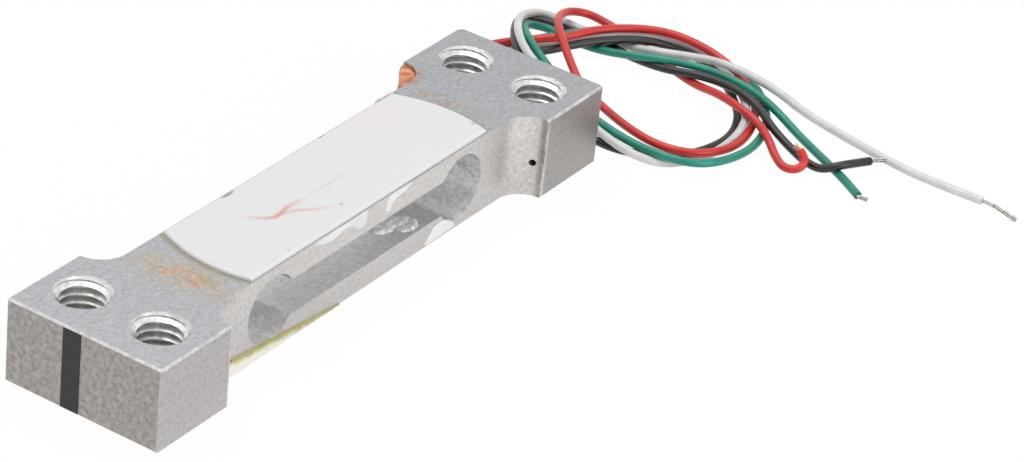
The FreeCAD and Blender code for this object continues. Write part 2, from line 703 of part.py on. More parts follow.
def insulated_lead(colour):
    """One lead's insulation, with a report of its tightest arc and its volume."""
    route = lead_route(colour)
    corners = [Vector(*point) for point in route]
    radii = [corner_radius(*triple)[0] for triple in zip(corners, corners[1:], corners[2:])]
    solid, length = tube(route, lead_diameter)
    expected = math.pi * lead_diameter ** 2 / 4 * length
    tight = sum(radius < 3 * lead_diameter for radius in radii)
    print(
        f"lead {colour}: length {length:.1f}, smallest radius {min(radii):.2f},"
        f" {tight} radii under 3 diameters, volume / (section x length) {solid.Volume / expected:.5f}"
    )
    return solid


# ---- Assembly -----------------------------------------------------------------------------
def build_parts():
    """Every piece of the load cell, by name."""
    top_joints = solder_joints([*(lead_pad(row) for row in range(4)), link_pad])
    bottom_joints = solder_joints([])
    top_jumpers = wires([*gauge_jumper_routes(), link_route()])
    bottom_jumpers = wires(gauge_jumper_routes())
    bridge_wires = wires(bridge_wire_routes())
    lead_wires = wires(lead_wire_routes())
    splices = lead_splices()
    gauges = [strain_gauge(-1), strain_gauge(1)]
    board = terminal_board()
    resistor = zero_balance_resistor()

    bottom_joints = [flipped(joint) for joint in bottom_joints]
    top_contents = [*gauges, board, resistor, *top_joints, *top_jumpers, *bridge_wires, *lead_wires]
    bottom_contents = [flipped(shape) for shape in (*gauges, board, *bottom_jumpers)]
    bottom_contents += [*bottom_joints, *bridge_wires]
    every_joint = Part.makeCompound([*top_joints, *bottom_joints])
    body = spring_body()

    def clear_of_joints(shapes):
        return Part.makeCompound([shape.cut(every_joint) for shape in shapes])

    parts = {
        "body": body,
        "top_silicone_coat": coat_blank().cut(top_contents),
        "bottom_silicone_coat": flipped(coat_blank()).cut(bottom_contents),
        "top_load_end_gauge": gauges[0],
        "top_fixed_end_gauge": gauges[1],
        "bottom_load_end_gauge": flipped(gauges[0]),
        "bottom_fixed_end_gauge": flipped(gauges[1]),
        "top_terminal_board": board,
        "bottom_terminal_board": flipped(board),
        "zero_balance_resistor": resistor,
        "top_solder_joints": Part.makeCompound(top_joints),
        "bottom_solder_joints": Part.makeCompound(bottom_joints),
        "top_jumper_wires": clear_of_joints(top_jumpers),
        "bottom_jumper_wires": clear_of_joints([flipped(wire) for wire in bottom_jumpers]),
        "side_bridge_wires": clear_of_joints(bridge_wires),
        "lead_jumper_wires": clear_of_joints(lead_wires),
        "side_wire_sealant": side_sealant_blank().cut([body, *bridge_wires, *lead_wires]),
        "lead_anchor_adhesive": anchor_blank().cut([body, *lead_wires, *splices]),
        "lead_splices": Part.makeCompound(splices),
        "lower_edge_adhesive": lower_edge_bead().cut(body),
        "slot_silicone_residue": slot_residue(),
        "side_silicone_smears": Part.makeCompound(side_smears()),
        "marker_tape": marker_tape(),
    }
    for colour in lead_routes:
        parts[f"lead_{colour}"] = insulated_lead(colour)
        parts[f"bare_strands_{colour}"] = bare_strands(colour)
    return parts


os.makedirs("parts", exist_ok=True)
for name, shape in build_parts().items():
    print(f"{name}: {len(shape.Solids)} solids, {shape.Volume:.3f} mm3, valid {shape.isValid()}")
    shape.exportStep(f"parts/{name}.step")
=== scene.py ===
# %% [markdown]
# # A single point load cell
# This is a small weighing sensor: a milled aluminium bar whose thin middle bends by a hair under
# load, white silicone over the foil gauges that feel it, and four thin coloured leads.
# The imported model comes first. Every piece below is placed in its frame, X along the bar from the
# load end to the fixed end, Y to the left, Z up, with everything in metres.

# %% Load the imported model
import bpy
import bmesh
import math
from mathutils import Matrix, Vector, noise


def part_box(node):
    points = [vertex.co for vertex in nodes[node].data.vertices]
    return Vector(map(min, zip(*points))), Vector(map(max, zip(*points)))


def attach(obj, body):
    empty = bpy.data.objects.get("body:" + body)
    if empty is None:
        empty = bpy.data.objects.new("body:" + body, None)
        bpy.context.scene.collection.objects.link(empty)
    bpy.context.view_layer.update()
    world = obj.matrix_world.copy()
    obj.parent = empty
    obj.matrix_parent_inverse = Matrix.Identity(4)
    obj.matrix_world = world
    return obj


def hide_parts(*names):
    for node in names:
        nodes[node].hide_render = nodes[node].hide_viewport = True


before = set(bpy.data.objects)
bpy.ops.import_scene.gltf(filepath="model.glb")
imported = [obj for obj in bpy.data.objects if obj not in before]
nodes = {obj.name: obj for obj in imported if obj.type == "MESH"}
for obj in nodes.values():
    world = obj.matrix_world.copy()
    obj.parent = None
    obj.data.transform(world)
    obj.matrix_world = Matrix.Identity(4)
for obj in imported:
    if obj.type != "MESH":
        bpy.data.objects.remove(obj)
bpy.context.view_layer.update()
MM = 0.001

# %% [markdown]
# ## The camera
# The cell is seen from above its near right corner, from about 37 cm away through a long lens,
# which keeps the bar's edges almost parallel. The camera's axes are written out as directions,
# which fixes the view exactly.

# %% Camera
camera_data = bpy.data.cameras.new("camera")
camera_data.lens = 142
camera_data.sensor_width = 36
camera_data.clip_start = 0.01
camera = bpy.data.objects.new("camera", camera_data)
bpy.context.scene.collection.objects.link(camera)
rightward = Vector((0.56159, -0.82216, 0.09305))
forward = Vector((0.73578, 0.44478, -0.51068))
upward = rightward.cross(forward).normalized()
axes = Matrix((rightward, upward, -forward)).transposed().to_4x4()
camera.matrix_world = Matrix.Translation(Vector((-308.16, -210.39, 228.59)) * MM) @ axes
bpy.context.scene.camera = camera
print("camera looks down by", round(math.degrees(math.asin(-forward.z)), 1), "degrees")

# %% [markdown]
# ## Colours and shader nodes
# Colours are easiest to keep as sRGB hex values, but shaders work in linear light, so one
# function converts them. A second small function adds any shader node with its settings and
# links, and a third makes the many finishes whose colour only drifts between a few tones.

# %% Colour and node helpers
def linear(hex_colour):
    """An sRGB hex colour as linear RGBA."""
    channels = [int(hex_colour[start:start + 2], 16) / 255 for start in (1, 3, 5)]
    return [c / 12.92 if c <= 0.04045 else ((c + 0.055) / 1.055) ** 2.4 for c in channels] + [1]


def add(tree, kind, inputs=None, stops=None, **settings):
    """Adds a shader node. An input is a value or a node's output, stops are a ramp's colours."""
    made = tree.nodes.new(f"ShaderNode{kind}")
    for name, value in settings.items():
        setattr(made, name, value)
    for socket, value in (inputs or {}).items():
        if isinstance(value, bpy.types.NodeSocket):
            tree.links.new(value, made.inputs[socket])
        else:
            made.inputs[socket].default_value = value
    for index, (place, colour) in enumerate(stops or ()):
        element = made.color_ramp.elements[index] if index < 2 else made.color_ramp.elements.new(place)
        element.position = place
        element.color = linear(colour)
    return made


def new_material(name, **finish):
    """A material with one Principled shader, and coordinates counted in millimetres."""
    material = bpy.data.materials.new(name)
    material.use_nodes = True
    tree = material.node_tree
    shader = tree.nodes["Principled BSDF"]
    for socket, value in finish.items():
        shader.inputs[socket.replace("_", " ")].default_value = value
    coordinates = add(tree, "TexCoord")
    place = add(tree, "VectorMath", {0: coordinates.outputs["Object"], "Scale": 1000},
                operation="SCALE").outputs["Vector"]
    return material, tree, shader, place


def mottled(name, stops, scale, detail, dents=None, **finish):
    """A finish whose colour follows a noise. The dents are its bump's strength and depth in mm."""
    material, tree, shader, place = new_material(name, **finish)
    drift = add(tree, "TexNoise", {"Vector": place, "Scale": scale, "Detail": detail}).outputs["Fac"]
    ramp = add(tree, "ValToRGB", {0: drift}, stops)
    tree.links.new(ramp.outputs["Color"], shader.inputs["Base Color"])
    if dents:
        bump = add(tree, "Bump", {"Height": drift, "Strength": dents[0], "Distance": dents[1] * MM})
        tree.links.new(bump.outputs["Normal"], shader.inputs["Normal"])
    return material


def wear(piece, material):
    """Gives a piece one material."""
    piece.data.materials.clear()
    piece.data.materials.append(material)


def new_object(name, data):
    """An object in the scene, at the origin."""
    piece = bpy.data.objects.new(name, data)
    bpy.context.scene.collection.objects.link(piece)
    return piece

# %% [markdown]
# ## PVC insulation
# The leads' jackets are extruded soft PVC: an even colour, a gentle gloss that spreads along the
# wire, and a slight waviness from handling. A dielectric with IOR 1.53 and medium roughness
# gives that, with fine noise in the bump so that no highlight is perfectly straight.

# %% Insulation finish
def pvc_insulation(name, colour, shade):
    """Extruded PVC. The shade is the colour's slightly deeper variation."""
    material, tree, shader, place = new_material(name, Roughness=0.36, IOR=1.53)
    drift = add(tree, "TexNoise", {"Vector": place, "Scale": 0.35, "Detail": 3})
    ramp = add(tree, "ValToRGB", {0: drift.outputs["Fac"]}, ((0.35, shade), (0.65, colour)))
    ripple = add(tree, "TexNoise", {"Vector": place, "Scale": 1.6, "Detail": 2})
    bump = add(tree, "Bump", {"Height": ripple.outputs["Fac"], "Strength": 0.25, "Distance": 0.05 * MM})
    tree.links.new(ramp.outputs["Color"], shader.inputs["Base Color"])
    tree.links.new(bump.outputs["Normal"], shader.inputs["Normal"])
    return material


insulation = {
    "red": pvc_insulation("red PVC insulation", "#D42A22", "#BC211C"),
    "black": pvc_insulation("black PVC insulation", "#19181A", "#111012"),
    "white": pvc_insulation("white PVC insulation", "#DCDCDA", "#CCCDCE"),
    "green": pvc_insulation("green PVC insulation", "#0A8C77", "#077966"),
}
print(len(insulation), "insulation colours")

# %% [markdown]
# ## The four leads
# Each lead is 1 mm hook-up wire, 166 to 188 mm long. They leave the adhesive on the bar's left
# side one above the other, pass over and under each other in two loose loops, and lie on the
# table. A lead is a single NURBS spline: its control points pull the wire into smooth bends, as
# the wire's own stiffness does.

# %% Lead routes
red_route = (
    (0.033, 0.0106, 0.0049), (0.0354, 0.0106, 0.0049), (0.0385, 0.0111, 0.004), (0.042, 0.0123, 0.0021),
    (0.046, 0.0136, 0.0015), (0.0506, 0.0146, 0.0015), (0.0547, 0.0132, 0.0014), (0.0572, 0.0101, 0.002),
    (0.0593, 0.0071, 0.0026), (0.0633, 0.0055, 0.00265), (0.0668, 0.0026, 0.00265),
    (0.0691, -0.0011, 0.0026), (0.0697, -0.0054, 0.0022), (0.069, -0.0098, 0.0017),
    (0.0678, -0.0134, 0.0007), (0.0647, -0.0166, 0.0005), (0.0597, -0.0193, 0.0005),
    (0.0539, -0.0206, 0.0009), (0.0493, -0.0198, 0.0015), (0.0469, -0.0172, 0.0016),
    (0.0464, -0.0133, 0.0016), (0.0478, -0.0087, 0.0015), (0.0497, -0.0044, 0.0015),
    (0.0509, -0.0006, 0.0022), (0.0532, 0.0024, 0.003), (0.0562, 0.0056, 0.0036), (0.0598, 0.0089, 0.0036),
    (0.0634, 0.0109, 0.0026), (0.0662, 0.0111, 0.002), (0.0682, 0.0097, 0.0014), (0.0689, 0.007, 0.0006),
    (0.0681, 0.003, 0.0005), (0.0663, -0.0012, 0.0005), (0.0647, -0.0052, 0.0005), (0.0635, -0.009, 0.0005),
    (0.0615, -0.0132, 0.0018), (0.0596, -0.0172, 0.0023), (0.0591, -0.02, 0.0017),
    (0.0571, -0.0227, 0.0015), (0.0551, -0.0249, 0.0008), (0.0538, -0.0269, 0.0005),
    (0.0545, -0.0285, 0.0006), (0.0557, -0.0288, 0.0015), (0.056, -0.0276, 0.0022),
)
black_route = (
    (0.033, 0.0106, 0.00375), (0.0353, 0.0106, 0.00375), (0.0381, 0.0107, 0.0029), (0.0418, 0.0112, 0.0007),
    (0.046, 0.012, 0.0005), (0.0506, 0.0122, 0.0005), (0.0546, 0.011, 0.0005), (0.0575, 0.0085, 0.0009),
    (0.0608, 0.0059, 0.0016), (0.0644, 0.0033, 0.0017), (0.0672, 0.0001, 0.0017), (0.0694, -0.0029, 0.0007),
    (0.0693, -0.0066, 0.0005), (0.0669, -0.0106, 0.0005), (0.0635, -0.0144, 0.0005),
    (0.0599, -0.0171, 0.0005), (0.0555, -0.0186, 0.0005), (0.0513, -0.0181, 0.0005),
    (0.0479, -0.0166, 0.0005), (0.0455, -0.014, 0.0005), (0.044, -0.0108, 0.0005),
    (0.0439, -0.0075, 0.0005), (0.0446, -0.0037, 0.0006), (0.0455, 0.0001, 0.0011), (0.048, 0.0041, 0.0019),
    (0.0506, 0.0077, 0.0027), (0.0533, 0.0106, 0.0028), (0.0571, 0.0132, 0.0025), (0.0607, 0.0149, 0.0016),
    (0.0631, 0.015, 0.0008), (0.0643, 0.0133, 0.0005), (0.0644, 0.0109, 0.0005), (0.0644, 0.0076, 0.0005),
    (0.0647, 0.0046, 0.0005), (0.0639, 0.0006, 0.0005), (0.0632, -0.0044, 0.0011),
    (0.0637, -0.0078, 0.0016), (0.064, -0.0113, 0.0019), (0.063, -0.0157, 0.0022), (0.062, -0.0186, 0.0017),
    (0.0594, -0.022, 0.0014), (0.0583, -0.0251, 0.0006), (0.0569, -0.0279, 0.0005),
    (0.0563, -0.0304, 0.0006), (0.0571, -0.0324, 0.00165), (0.0592, -0.0333, 0.00145),
    (0.0612, -0.0341, 0.0012),
)
white_route = (
    (0.033, 0.0106, 0.00255), (0.0352, 0.0106, 0.00255), (0.0382, 0.0117, 0.0015), (0.042, 0.0126, 0.0005),
    (0.046, 0.0135, 0.0005), (0.0506, 0.0138, 0.0005), (0.055, 0.0124, 0.0005), (0.0584, 0.0098, 0.0009),
    (0.0617, 0.0069, 0.0016), (0.0657, 0.0041, 0.0016), (0.0688, 0.0004, 0.0015), (0.0705, -0.0032, 0.0011),
    (0.0703, -0.0065, 0.0006), (0.0677, -0.0109, 0.0008), (0.0644, -0.015, 0.0011),
    (0.0607, -0.0178, 0.0011), (0.0561, -0.0193, 0.0008), (0.051, -0.0192, 0.0005),
    (0.0474, -0.018, 0.0005), (0.0446, -0.0158, 0.0005), (0.043, -0.0126, 0.0013),
    (0.0439, -0.0085, 0.0016), (0.0456, -0.0046, 0.0016), (0.048, 0.0001, 0.0017), (0.0492, 0.0034, 0.0026),
    (0.0502, 0.0059, 0.0035), (0.052, 0.0086, 0.0037), (0.055, 0.0114, 0.0036), (0.0592, 0.014, 0.0027),
    (0.0628, 0.0148, 0.0017), (0.065, 0.0142, 0.001), (0.0658, 0.0117, 0.0005), (0.0656, 0.0087, 0.0005),
    (0.066, 0.0057, 0.0005), (0.066, 0.002, 0.0005), (0.0654, -0.0016, 0.0016), (0.0671, -0.005, 0.0016),
    (0.0675, -0.0091, 0.0023), (0.0669, -0.0138, 0.0026), (0.0675, -0.0175, 0.0016),
    (0.0669, -0.0219, 0.0005), (0.0655, -0.0274, 0.0005), (0.0641, -0.0338, 0.0005),
    (0.0631, -0.0409, 0.0005), (0.0635, -0.0478, 0.0005),
)
green_route = (
    (0.033, 0.0106, 0.0014), (0.0353, 0.0106, 0.0014), (0.0382, 0.0127, 0.0005), (0.0419, 0.0141, 0.0005),
    (0.046, 0.0149, 0.0005), (0.0508, 0.0152, 0.0005), (0.0548, 0.0136, 0.0005), (0.0587, 0.0108, 0.0012),
    (0.0627, 0.0079, 0.0016), (0.067, 0.0049, 0.0016), (0.0705, 0.0012, 0.0013), (0.0716, -0.0035, 0.0006),
    (0.0709, -0.008, 0.0005), (0.0691, -0.0135, 0.0005), (0.0651, -0.0177, 0.0005),
    (0.0604, -0.0207, 0.0005), (0.0549, -0.0221, 0.0007), (0.0493, -0.0219, 0.0014),
    (0.0459, -0.0201, 0.0016), (0.0446, -0.0168, 0.0017), (0.0446, -0.0129, 0.0016),
    (0.0453, -0.009, 0.0016), (0.0466, -0.005, 0.0016), (0.0487, -0.0005, 0.0019), (0.0507, 0.0032, 0.0025),
    (0.0523, 0.0061, 0.003), (0.0541, 0.0086, 0.0031), (0.0565, 0.0113, 0.0029), (0.0598, 0.0135, 0.0017),
    (0.0617, 0.0132, 0.001), (0.063, 0.0114, 0.0005), (0.0625, 0.0082, 0.0005), (0.0626, 0.0047, 0.0005),
    (0.0624, 0.0003, 0.0015), (0.0641, -0.0041, 0.0019), (0.0653, -0.0084, 0.002),
    (0.0651, -0.0127, 0.0022), (0.0651, -0.0161, 0.0017), (0.0633, -0.0202, 0.0015),
    (0.0619, -0.0239, 0.0005), (0.059, -0.029, 0.0005), (0.0564, -0.0337, 0.0005),
    (0.0544, -0.0365, 0.0005),
)
routes = {"red": red_route, "black": black_route, "white": white_route, "green": green_route}
print("control points:", {colour: len(route) for colour, route in routes.items()})

# %% Leads as curves
lead_diameter = 1.0 * MM


def nurbs_line(name, points):
    """One open NURBS spline through space."""
    line = bpy.data.curves.new(name, "CURVE")
    line.dimensions = "3D"
    spline = line.splines.new("NURBS")
    spline.points.add(len(points) - 1)
    for control, point in zip(spline.points, points):
        control.co = (*point, 1)
    spline.order_u = 3
    spline.use_endpoint_u = True
    spline.resolution_u = 8
    return new_object(name, line)


leads = {}
for colour, route in routes.items():
    lead = nurbs_line(f"{colour}_lead", route)
    lead.data.bevel_depth = lead_diameter / 2
    lead.data.bevel_resolution = 5
    lead.data.use_fill_caps = True
    wear(lead, insulation[colour])
    leads[colour] = lead
print("leads:", sorted(leads))

# %% [markdown]
# ## Copper ends
# Each lead's core is seven fine strands with a slight twist, tinned on three leads and bare
# copper on the red one. One strand runs along the bare end's own line, which is read from a
# spline of its control points, and six wind round it. They open out a little at the tip, as
# snipped strands do.

# %% Tinned and bare copper
tinned_copper = mottled("tinned copper", ((0.3, "#8F8B86"), (0.7, "#C9C7C3")), 2.5, 4,
                        Metallic=1.0, Roughness=0.34)
copper_strands = mottled("bare copper", ((0.3, "#B98A7C"), (0.7, "#E6C3B6")), 2.5, 4,
                         Metallic=1.0, Roughness=0.4)
print("tinned copper and bare copper")

# %% Strands
strand_radius = 0.075 * MM
strand_count = 7


def line_points(points):
    """Points read along the NURBS spline of some control points."""
    guide = nurbs_line("guide", points)
    sampled = bpy.data.meshes.new_from_object(guide.evaluated_get(bpy.context.evaluated_depsgraph_get()))
    places = [vertex.co.copy() for vertex in sampled.vertices]
    bpy.data.objects.remove(guide)
    bpy.data.meshes.remove(sampled)
    return places


def strand_bundle(name, points, splay):
    """Seven strands laid round a bare end's line, opening by splay at the tip."""
    path = line_points(points)
    curve = bpy.data.curves.new(name, "CURVE")
    curve.dimensions = "3D"
    curve.bevel_depth = strand_radius
    curve.bevel_resolution = 2
    curve.use_fill_caps = True
    for strand in range(strand_count):
        spline = curve.splines.new("POLY")
        spline.points.add(len(path) - 1)
        lay_radius = 0 if strand == 0 else 2 * strand_radius
        for index, spot in enumerate(path):
            along = index / (len(path) - 1)
            heading = path[min(index + 1, len(path) - 1)] - path[max(index - 1, 0)]
            sideways = heading.orthogonal().normalized()
            turn = 2 * math.pi * strand / (strand_count - 1) + 2.4 * along
            spread = lay_radius * (1 + splay * along ** 3 * (1 + 0.5 * math.sin(3 * strand)))
            offset = Matrix.Rotation(turn, 3, heading) @ sideways * spread
            spline.points[index].co = (*(spot + offset), 1)
    guide = new_object(name, curve)
    solid = bpy.data.meshes.new_from_object(guide.evaluated_get(bpy.context.evaluated_depsgraph_get()))
    bpy.data.objects.remove(guide)
    bundle = new_object(name, solid)
    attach(bundle, "root")
    return bundle


bare_tips = {
    "red": ((0.0562, -0.0268, 0.0025), 0.3, 0.9),
    "black": ((0.0631, -0.0353, 0.0010), 0.6, 0.5),
    "white": ((0.0626, -0.0526, 0.0003), 1.6, 0.5),
    "green": ((0.0546, -0.0377, 0.00035), 0.4, 0.3),
}
for colour, (tip, straight, splay) in bare_tips.items():
    before, last = (Vector(point) for point in routes[colour][-2:])
    onward = (last - before).normalized()
    core = [last - onward * 0.6 * MM, last, last + onward * straight * MM, Vector(tip)]
    bundle = strand_bundle(f"{colour}_bare_end", core, splay)
    wear(bundle, copper_strands if colour == "red" else tinned_copper)
    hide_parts(f"bare_strands_{colour}")

for colour, lead in leads.items():
    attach(lead, "root")
    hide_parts(f"lead_{colour}")

# %% [markdown]
# ## Milled aluminium
# The bar is high-strength aluminium, sawn to length and milled on its long faces. The sawn ends
# are coarse and a little warm in tone, and the milled faces are finer. Light and shade are painted
# into the colour: the top and bottom faces and the fixed end's sides are painted darker as shade,
# the waist carries painted light and is the lightest, and the chamfered rims carry a painted
# highlight, so they are the brightest. One material tells these faces apart by their normals and
# places, and lays grain 0.4 mm across over them all, coarser on the sawn ends.

# %% Aluminium: which face is which
aluminium, tree, shader, place = new_material("milled aluminium", Metallic=1.0)
normal = add(tree, "TexCoord").outputs["Normal"]
facing = add(tree, "VectorMath", {0: normal}, operation="ABSOLUTE").outputs["Vector"]
spread = add(tree, "VectorMath", {0: place}, operation="ABSOLUTE").outputs["Vector"]
faces, reach, where = (add(tree, "SeparateXYZ", {0: vector}).outputs
                       for vector in (facing, spread, place))

# A ramp goes from 0 to 1 between two values of a coordinate. The notches' mouths have a sharp
# corner, 0.3 mm wide, with a painted highlight, and the fixed end's side is painted darker as shade.
ramps = {
    "level": (faces["Z"], 0.9, 0.97),
    "slanted": (faces["Z"], 0.4, 0.6),
    "sawn": (faces["X"], 0.97, 0.99),
    "past_notch": (reach["X"], 28.95, 28.75),
    "at_side": (reach["Y"], 9.75, 9.95),
    "fixed_end": (where["X"], 28.9, 29.3),
    "ceiling": (where["Z"], 7.2, 9.2),
    "foot": (where["X"], 17.2, 15.2),
    "upper": (where["Z"], 3.0, 3.8),
}
# A step is 1 on one side of a value. The window's walls face neither side, and lie between the
# bores' ends.
steps = {
    "beyond": (reach["X"], "GREATER_THAN", 28.55),
    "between_notches": (reach["X"], "LESS_THAN", 28.9),
    "sunk": (reach["Y"], "LESS_THAN", 9.95),
    "round_wall": (faces["Y"], "LESS_THAN", 0.1),
    "inside": (reach["Y"], "LESS_THAN", 6.49),
    "below_top": (where["Z"], "LESS_THAN", 9.5),
    "above_bottom": (where["Z"], "GREATER_THAN", 1.3),
    "before_bore_end": (reach["X"], "LESS_THAN", 21.15),
    "past_slot": (reach["X"], "GREATER_THAN", 13.76),
    "ahead": (where["X"], "GREATER_THAN", 13.9),
    "low": (where["Z"], "LESS_THAN", 3.2),
    "behind": (where["X"], "LESS_THAN", -13.7),
}
mask = {}
for name, (value, start, end) in ramps.items():
    mask[name] = add(tree, "MapRange", {"Value": value, "From Min": start, "From Max": end}).outputs[0]
for name, (value, side, limit) in steps.items():
    mask[name] = add(tree, "Math", {0: value, 1: limit}, operation=side).outputs[0]
# painted light: the waist's side is painted lighter toward its top edge
mask["upward"] = add(tree, "MapRange", {"Value": where["Z"], "From Min": 1.0,
                                        "From Max": 8.0, "To Min": 0.45}).outputs[0]

# Masks that hold at once are multiplied. The waist carries painted light, lightest near its top
# edge. Light that bounces between the window's walls fills the slot, and leaves the near bore's
# upper half, and the far bore's ceiling and near foot, darker.
overlaps = {
    "corner": ("past_notch", "at_side", "beyond"),
    "waist": ("between_notches", "sunk", "upward"),
    # painted shade: the fixed end's sides are painted darker
    "dull": ("fixed_end", "at_side"),
    "in_window": ("round_wall", "inside", "below_top", "above_bottom", "before_bore_end"),
    "in_bore": ("in_window", "past_slot"),
    "far_foot": ("foot", "ahead", "low"),
    "far_ceiling": ("ceiling", "ahead"),
    "dim": ("upper", "behind", "in_window"),
}
for name, (first, *others) in overlaps.items():
    mask[name] = mask[first]
    for other in others:
        mask[name] = add(tree, "Math", {0: mask[name], 1: mask[other]}, operation="MULTIPLY").outputs[0]
rim = add(tree, "Math", {0: mask["slanted"], 1: mask["level"]}, operation="SUBTRACT",
          use_clamp=True).outputs[0]
bright = add(tree, "Math", {0: rim, 1: mask["corner"]}, operation="MAXIMUM").outputs[0]
shadow = add(tree, "Math", {0: mask["far_ceiling"], 1: mask["far_foot"]},
             operation="MAXIMUM").outputs[0]
shadow = add(tree, "Math", {0: shadow, 1: mask["in_bore"]}, operation="MULTIPLY").outputs[0]

# %% Aluminium: tone, grain and scratches
lit_wall = add(tree, "Math", {0: mask["in_window"], 1: 0.97}, operation="MULTIPLY").outputs[0]
# painted highlight: the rims and the notches' corners are painted bright, broken into patches by a noise
highlight_patches = add(tree, "TexNoise", {"Vector": place, "Scale": 0.9, "Detail": 4}).outputs["Fac"]
highlight_patches = add(tree, "MapRange", {"Value": highlight_patches, "From Min": 0.35, "From Max": 0.6,
                              "To Min": 0.35}).outputs[0]
painted_highlight = add(tree, "Math", {0: bright, 1: highlight_patches}, operation="MULTIPLY").outputs[0]
# The tones paint light and shade: the level top and bottom faces darker as painted shade, the fixed end's
# sides darker as painted shade, the waist lighter as painted light, the window's walls lit and dimmed, the
# far bore's painted shadow and the rims' painted highlight; the sawn ends keep their own tone.
tone = linear("#BCB8B7")
for area, colour in ((mask["waist"], "#D3CFCD"), (mask["dull"], "#A6A2A0"), (mask["level"], "#A0A1A4"),
                     (mask["sawn"], "#A9A49F"), (lit_wall, "#EFEEED"), (mask["dim"], "#D0CECC"),
                     (shadow, "#A3A19F"), (painted_highlight, "#DADADA")):
    tone = add(tree, "Mix", {0: area, 6: tone, 7: linear(colour)}, data_type="RGBA").outputs[2]
grain = add(tree, "TexNoise", {"Vector": place, "Scale": 2.0, "Detail": 5,
                               "Roughness": 0.72}).outputs["Fac"]
blotch = add(tree, "TexNoise", {"Vector": place, "Scale": 1.5, "Detail": 6,
                                "Roughness": 0.7}).outputs["Fac"]
drawn_out = add(tree, "Mapping", {"Vector": place, "Scale": (0.12, 3.2, 3.2)})
scratch = add(tree, "TexNoise", {"Vector": drawn_out.outputs["Vector"], "Scale": 1.2,
                                 "Detail": 4, "Roughness": 0.6}).outputs["Fac"]
fine = add(tree, "Mix", {0: 0.22, 2: grain, 3: scratch}).outputs[0]
texture = add(tree, "Mix", {0: mask["sawn"], 2: fine, 3: blotch}).outputs[0]
depth = add(tree, "Mix", {0: mask["sawn"], 2: 0.26, 3: 0.36}).outputs[0]
centred = add(tree, "MapRange", {"Value": texture, "From Min": 0.3, "From Max": 0.7,
                                 "To Min": -1.0, "To Max": 1.0}).outputs[0]
swing = add(tree, "Math", {0: centred, 1: depth}, operation="MULTIPLY").outputs[0]
factor = add(tree, "Math", {0: swing, 1: 1.0}, operation="ADD").outputs[0]
metal = add(tree, "VectorMath", {0: tone, "Scale": factor}, operation="SCALE").outputs[0]

# %% [markdown]
# ## Stains round the silicone
# Flux and glue residue dried in curls beside both coats: khaki rings with rust-orange flecks at
# the load end, a fainter line at the fixed end. The curls are the level lines of a noise, kept to
# soft patches, and a thin olive line follows each coat's bulging end.

# %% Aluminium: stains
def patch(tree, place, middle, size, softness=0.35):
    """A soft elliptical patch round a place in millimetres."""
    from_middle = add(tree, "VectorMath", {0: place, 1: middle}, operation="SUBTRACT")
    scaled = add(tree, "VectorMath", {0: from_middle.outputs[0], 1: size}, operation="DIVIDE")
    distance = add(tree, "VectorMath", {0: scaled.outputs[0]}, operation="LENGTH")
    return add(tree, "MapRange", {"Value": distance.outputs["Value"],
                                  "From Min": 1 + softness, "From Max": 1 - softness},
               interpolation_type="SMOOTHSTEP").outputs[0]


def stained(tree, colour, area, amount, stain):
    """A colour with a stain laid over it."""
    share = add(tree, "Math", {0: area, 1: amount}, operation="MULTIPLY").outputs[0]
    return add(tree, "Mix", {0: share, 6: colour, 7: linear(stain)}, data_type="RGBA").outputs[2]


curl_noise = add(tree, "TexNoise", {"Vector": place, "Scale": 0.55, "Detail": 2,
                                    "Distortion": 0.8}).outputs["Fac"]
curl_height = add(tree, "Math", {0: curl_noise, 1: 0.5}, operation="SUBTRACT").outputs[0]
curl_distance = add(tree, "Math", {0: curl_height}, operation="ABSOLUTE").outputs[0]
curls = add(tree, "MapRange", {"Value": curl_distance, "From Min": 0.085,
                               "From Max": 0.015}, interpolation_type="SMOOTHSTEP").outputs[0]
fleck_noise = add(tree, "TexNoise", {"Vector": place, "Scale": 0.9, "Detail": 3}).outputs["Fac"]
flecks = add(tree, "MapRange", {"Value": fleck_noise, "From Min": 0.42, "From Max": 0.6}).outputs[0]
load_patch = patch(tree, place, (-24.7, -0.6, 10.4), (2.5, 5.8, 2.0), 0.5)
rust_patch = patch(tree, place, (-24.6, -0.3, 10.4), (1.4, 2.4, 2.0), 0.6)
fixed_patch = patch(tree, place, (24.3, 0.6, 10.4), (1.2, 4.6, 2.0))
exit_patch = patch(tree, place, (26.0, 7.4, 10.4), (2.6, 1.6, 2.0))
load_curls = add(tree, "Math", {0: load_patch, 1: curls}, operation="MULTIPLY").outputs[0]
metal = stained(tree, metal, load_patch, 0.2, "#A99E80")
metal = stained(tree, metal, load_curls, 0.6, "#A3906C")
for area, marks, amount, stain in ((rust_patch, flecks, 0.4, "#CB8C62"),
                                   (fixed_patch, curls, 0.6, "#A08F6E"),
                                   (exit_patch, flecks, 0.6, "#A5744A")):
    marked = add(tree, "Math", {0: area, 1: marks}, operation="MULTIPLY").outputs[0]
    metal = stained(tree, metal, marked, amount, stain)

coat_side = 6.3
load_end_bulge = (-20.7, -21.3, -19.4)      # X at the coat's right side, middle and left side
fixed_end_bulge = (21.8, 22.75, 21.2)


def bulge_terms(bulge):
    """A curved end as X at the middle, X per Y, and X per Y squared."""
    right, middle, left = bulge
    return middle, (left - right) / (2 * coat_side), ((left + right) / 2 - middle) / coat_side ** 2


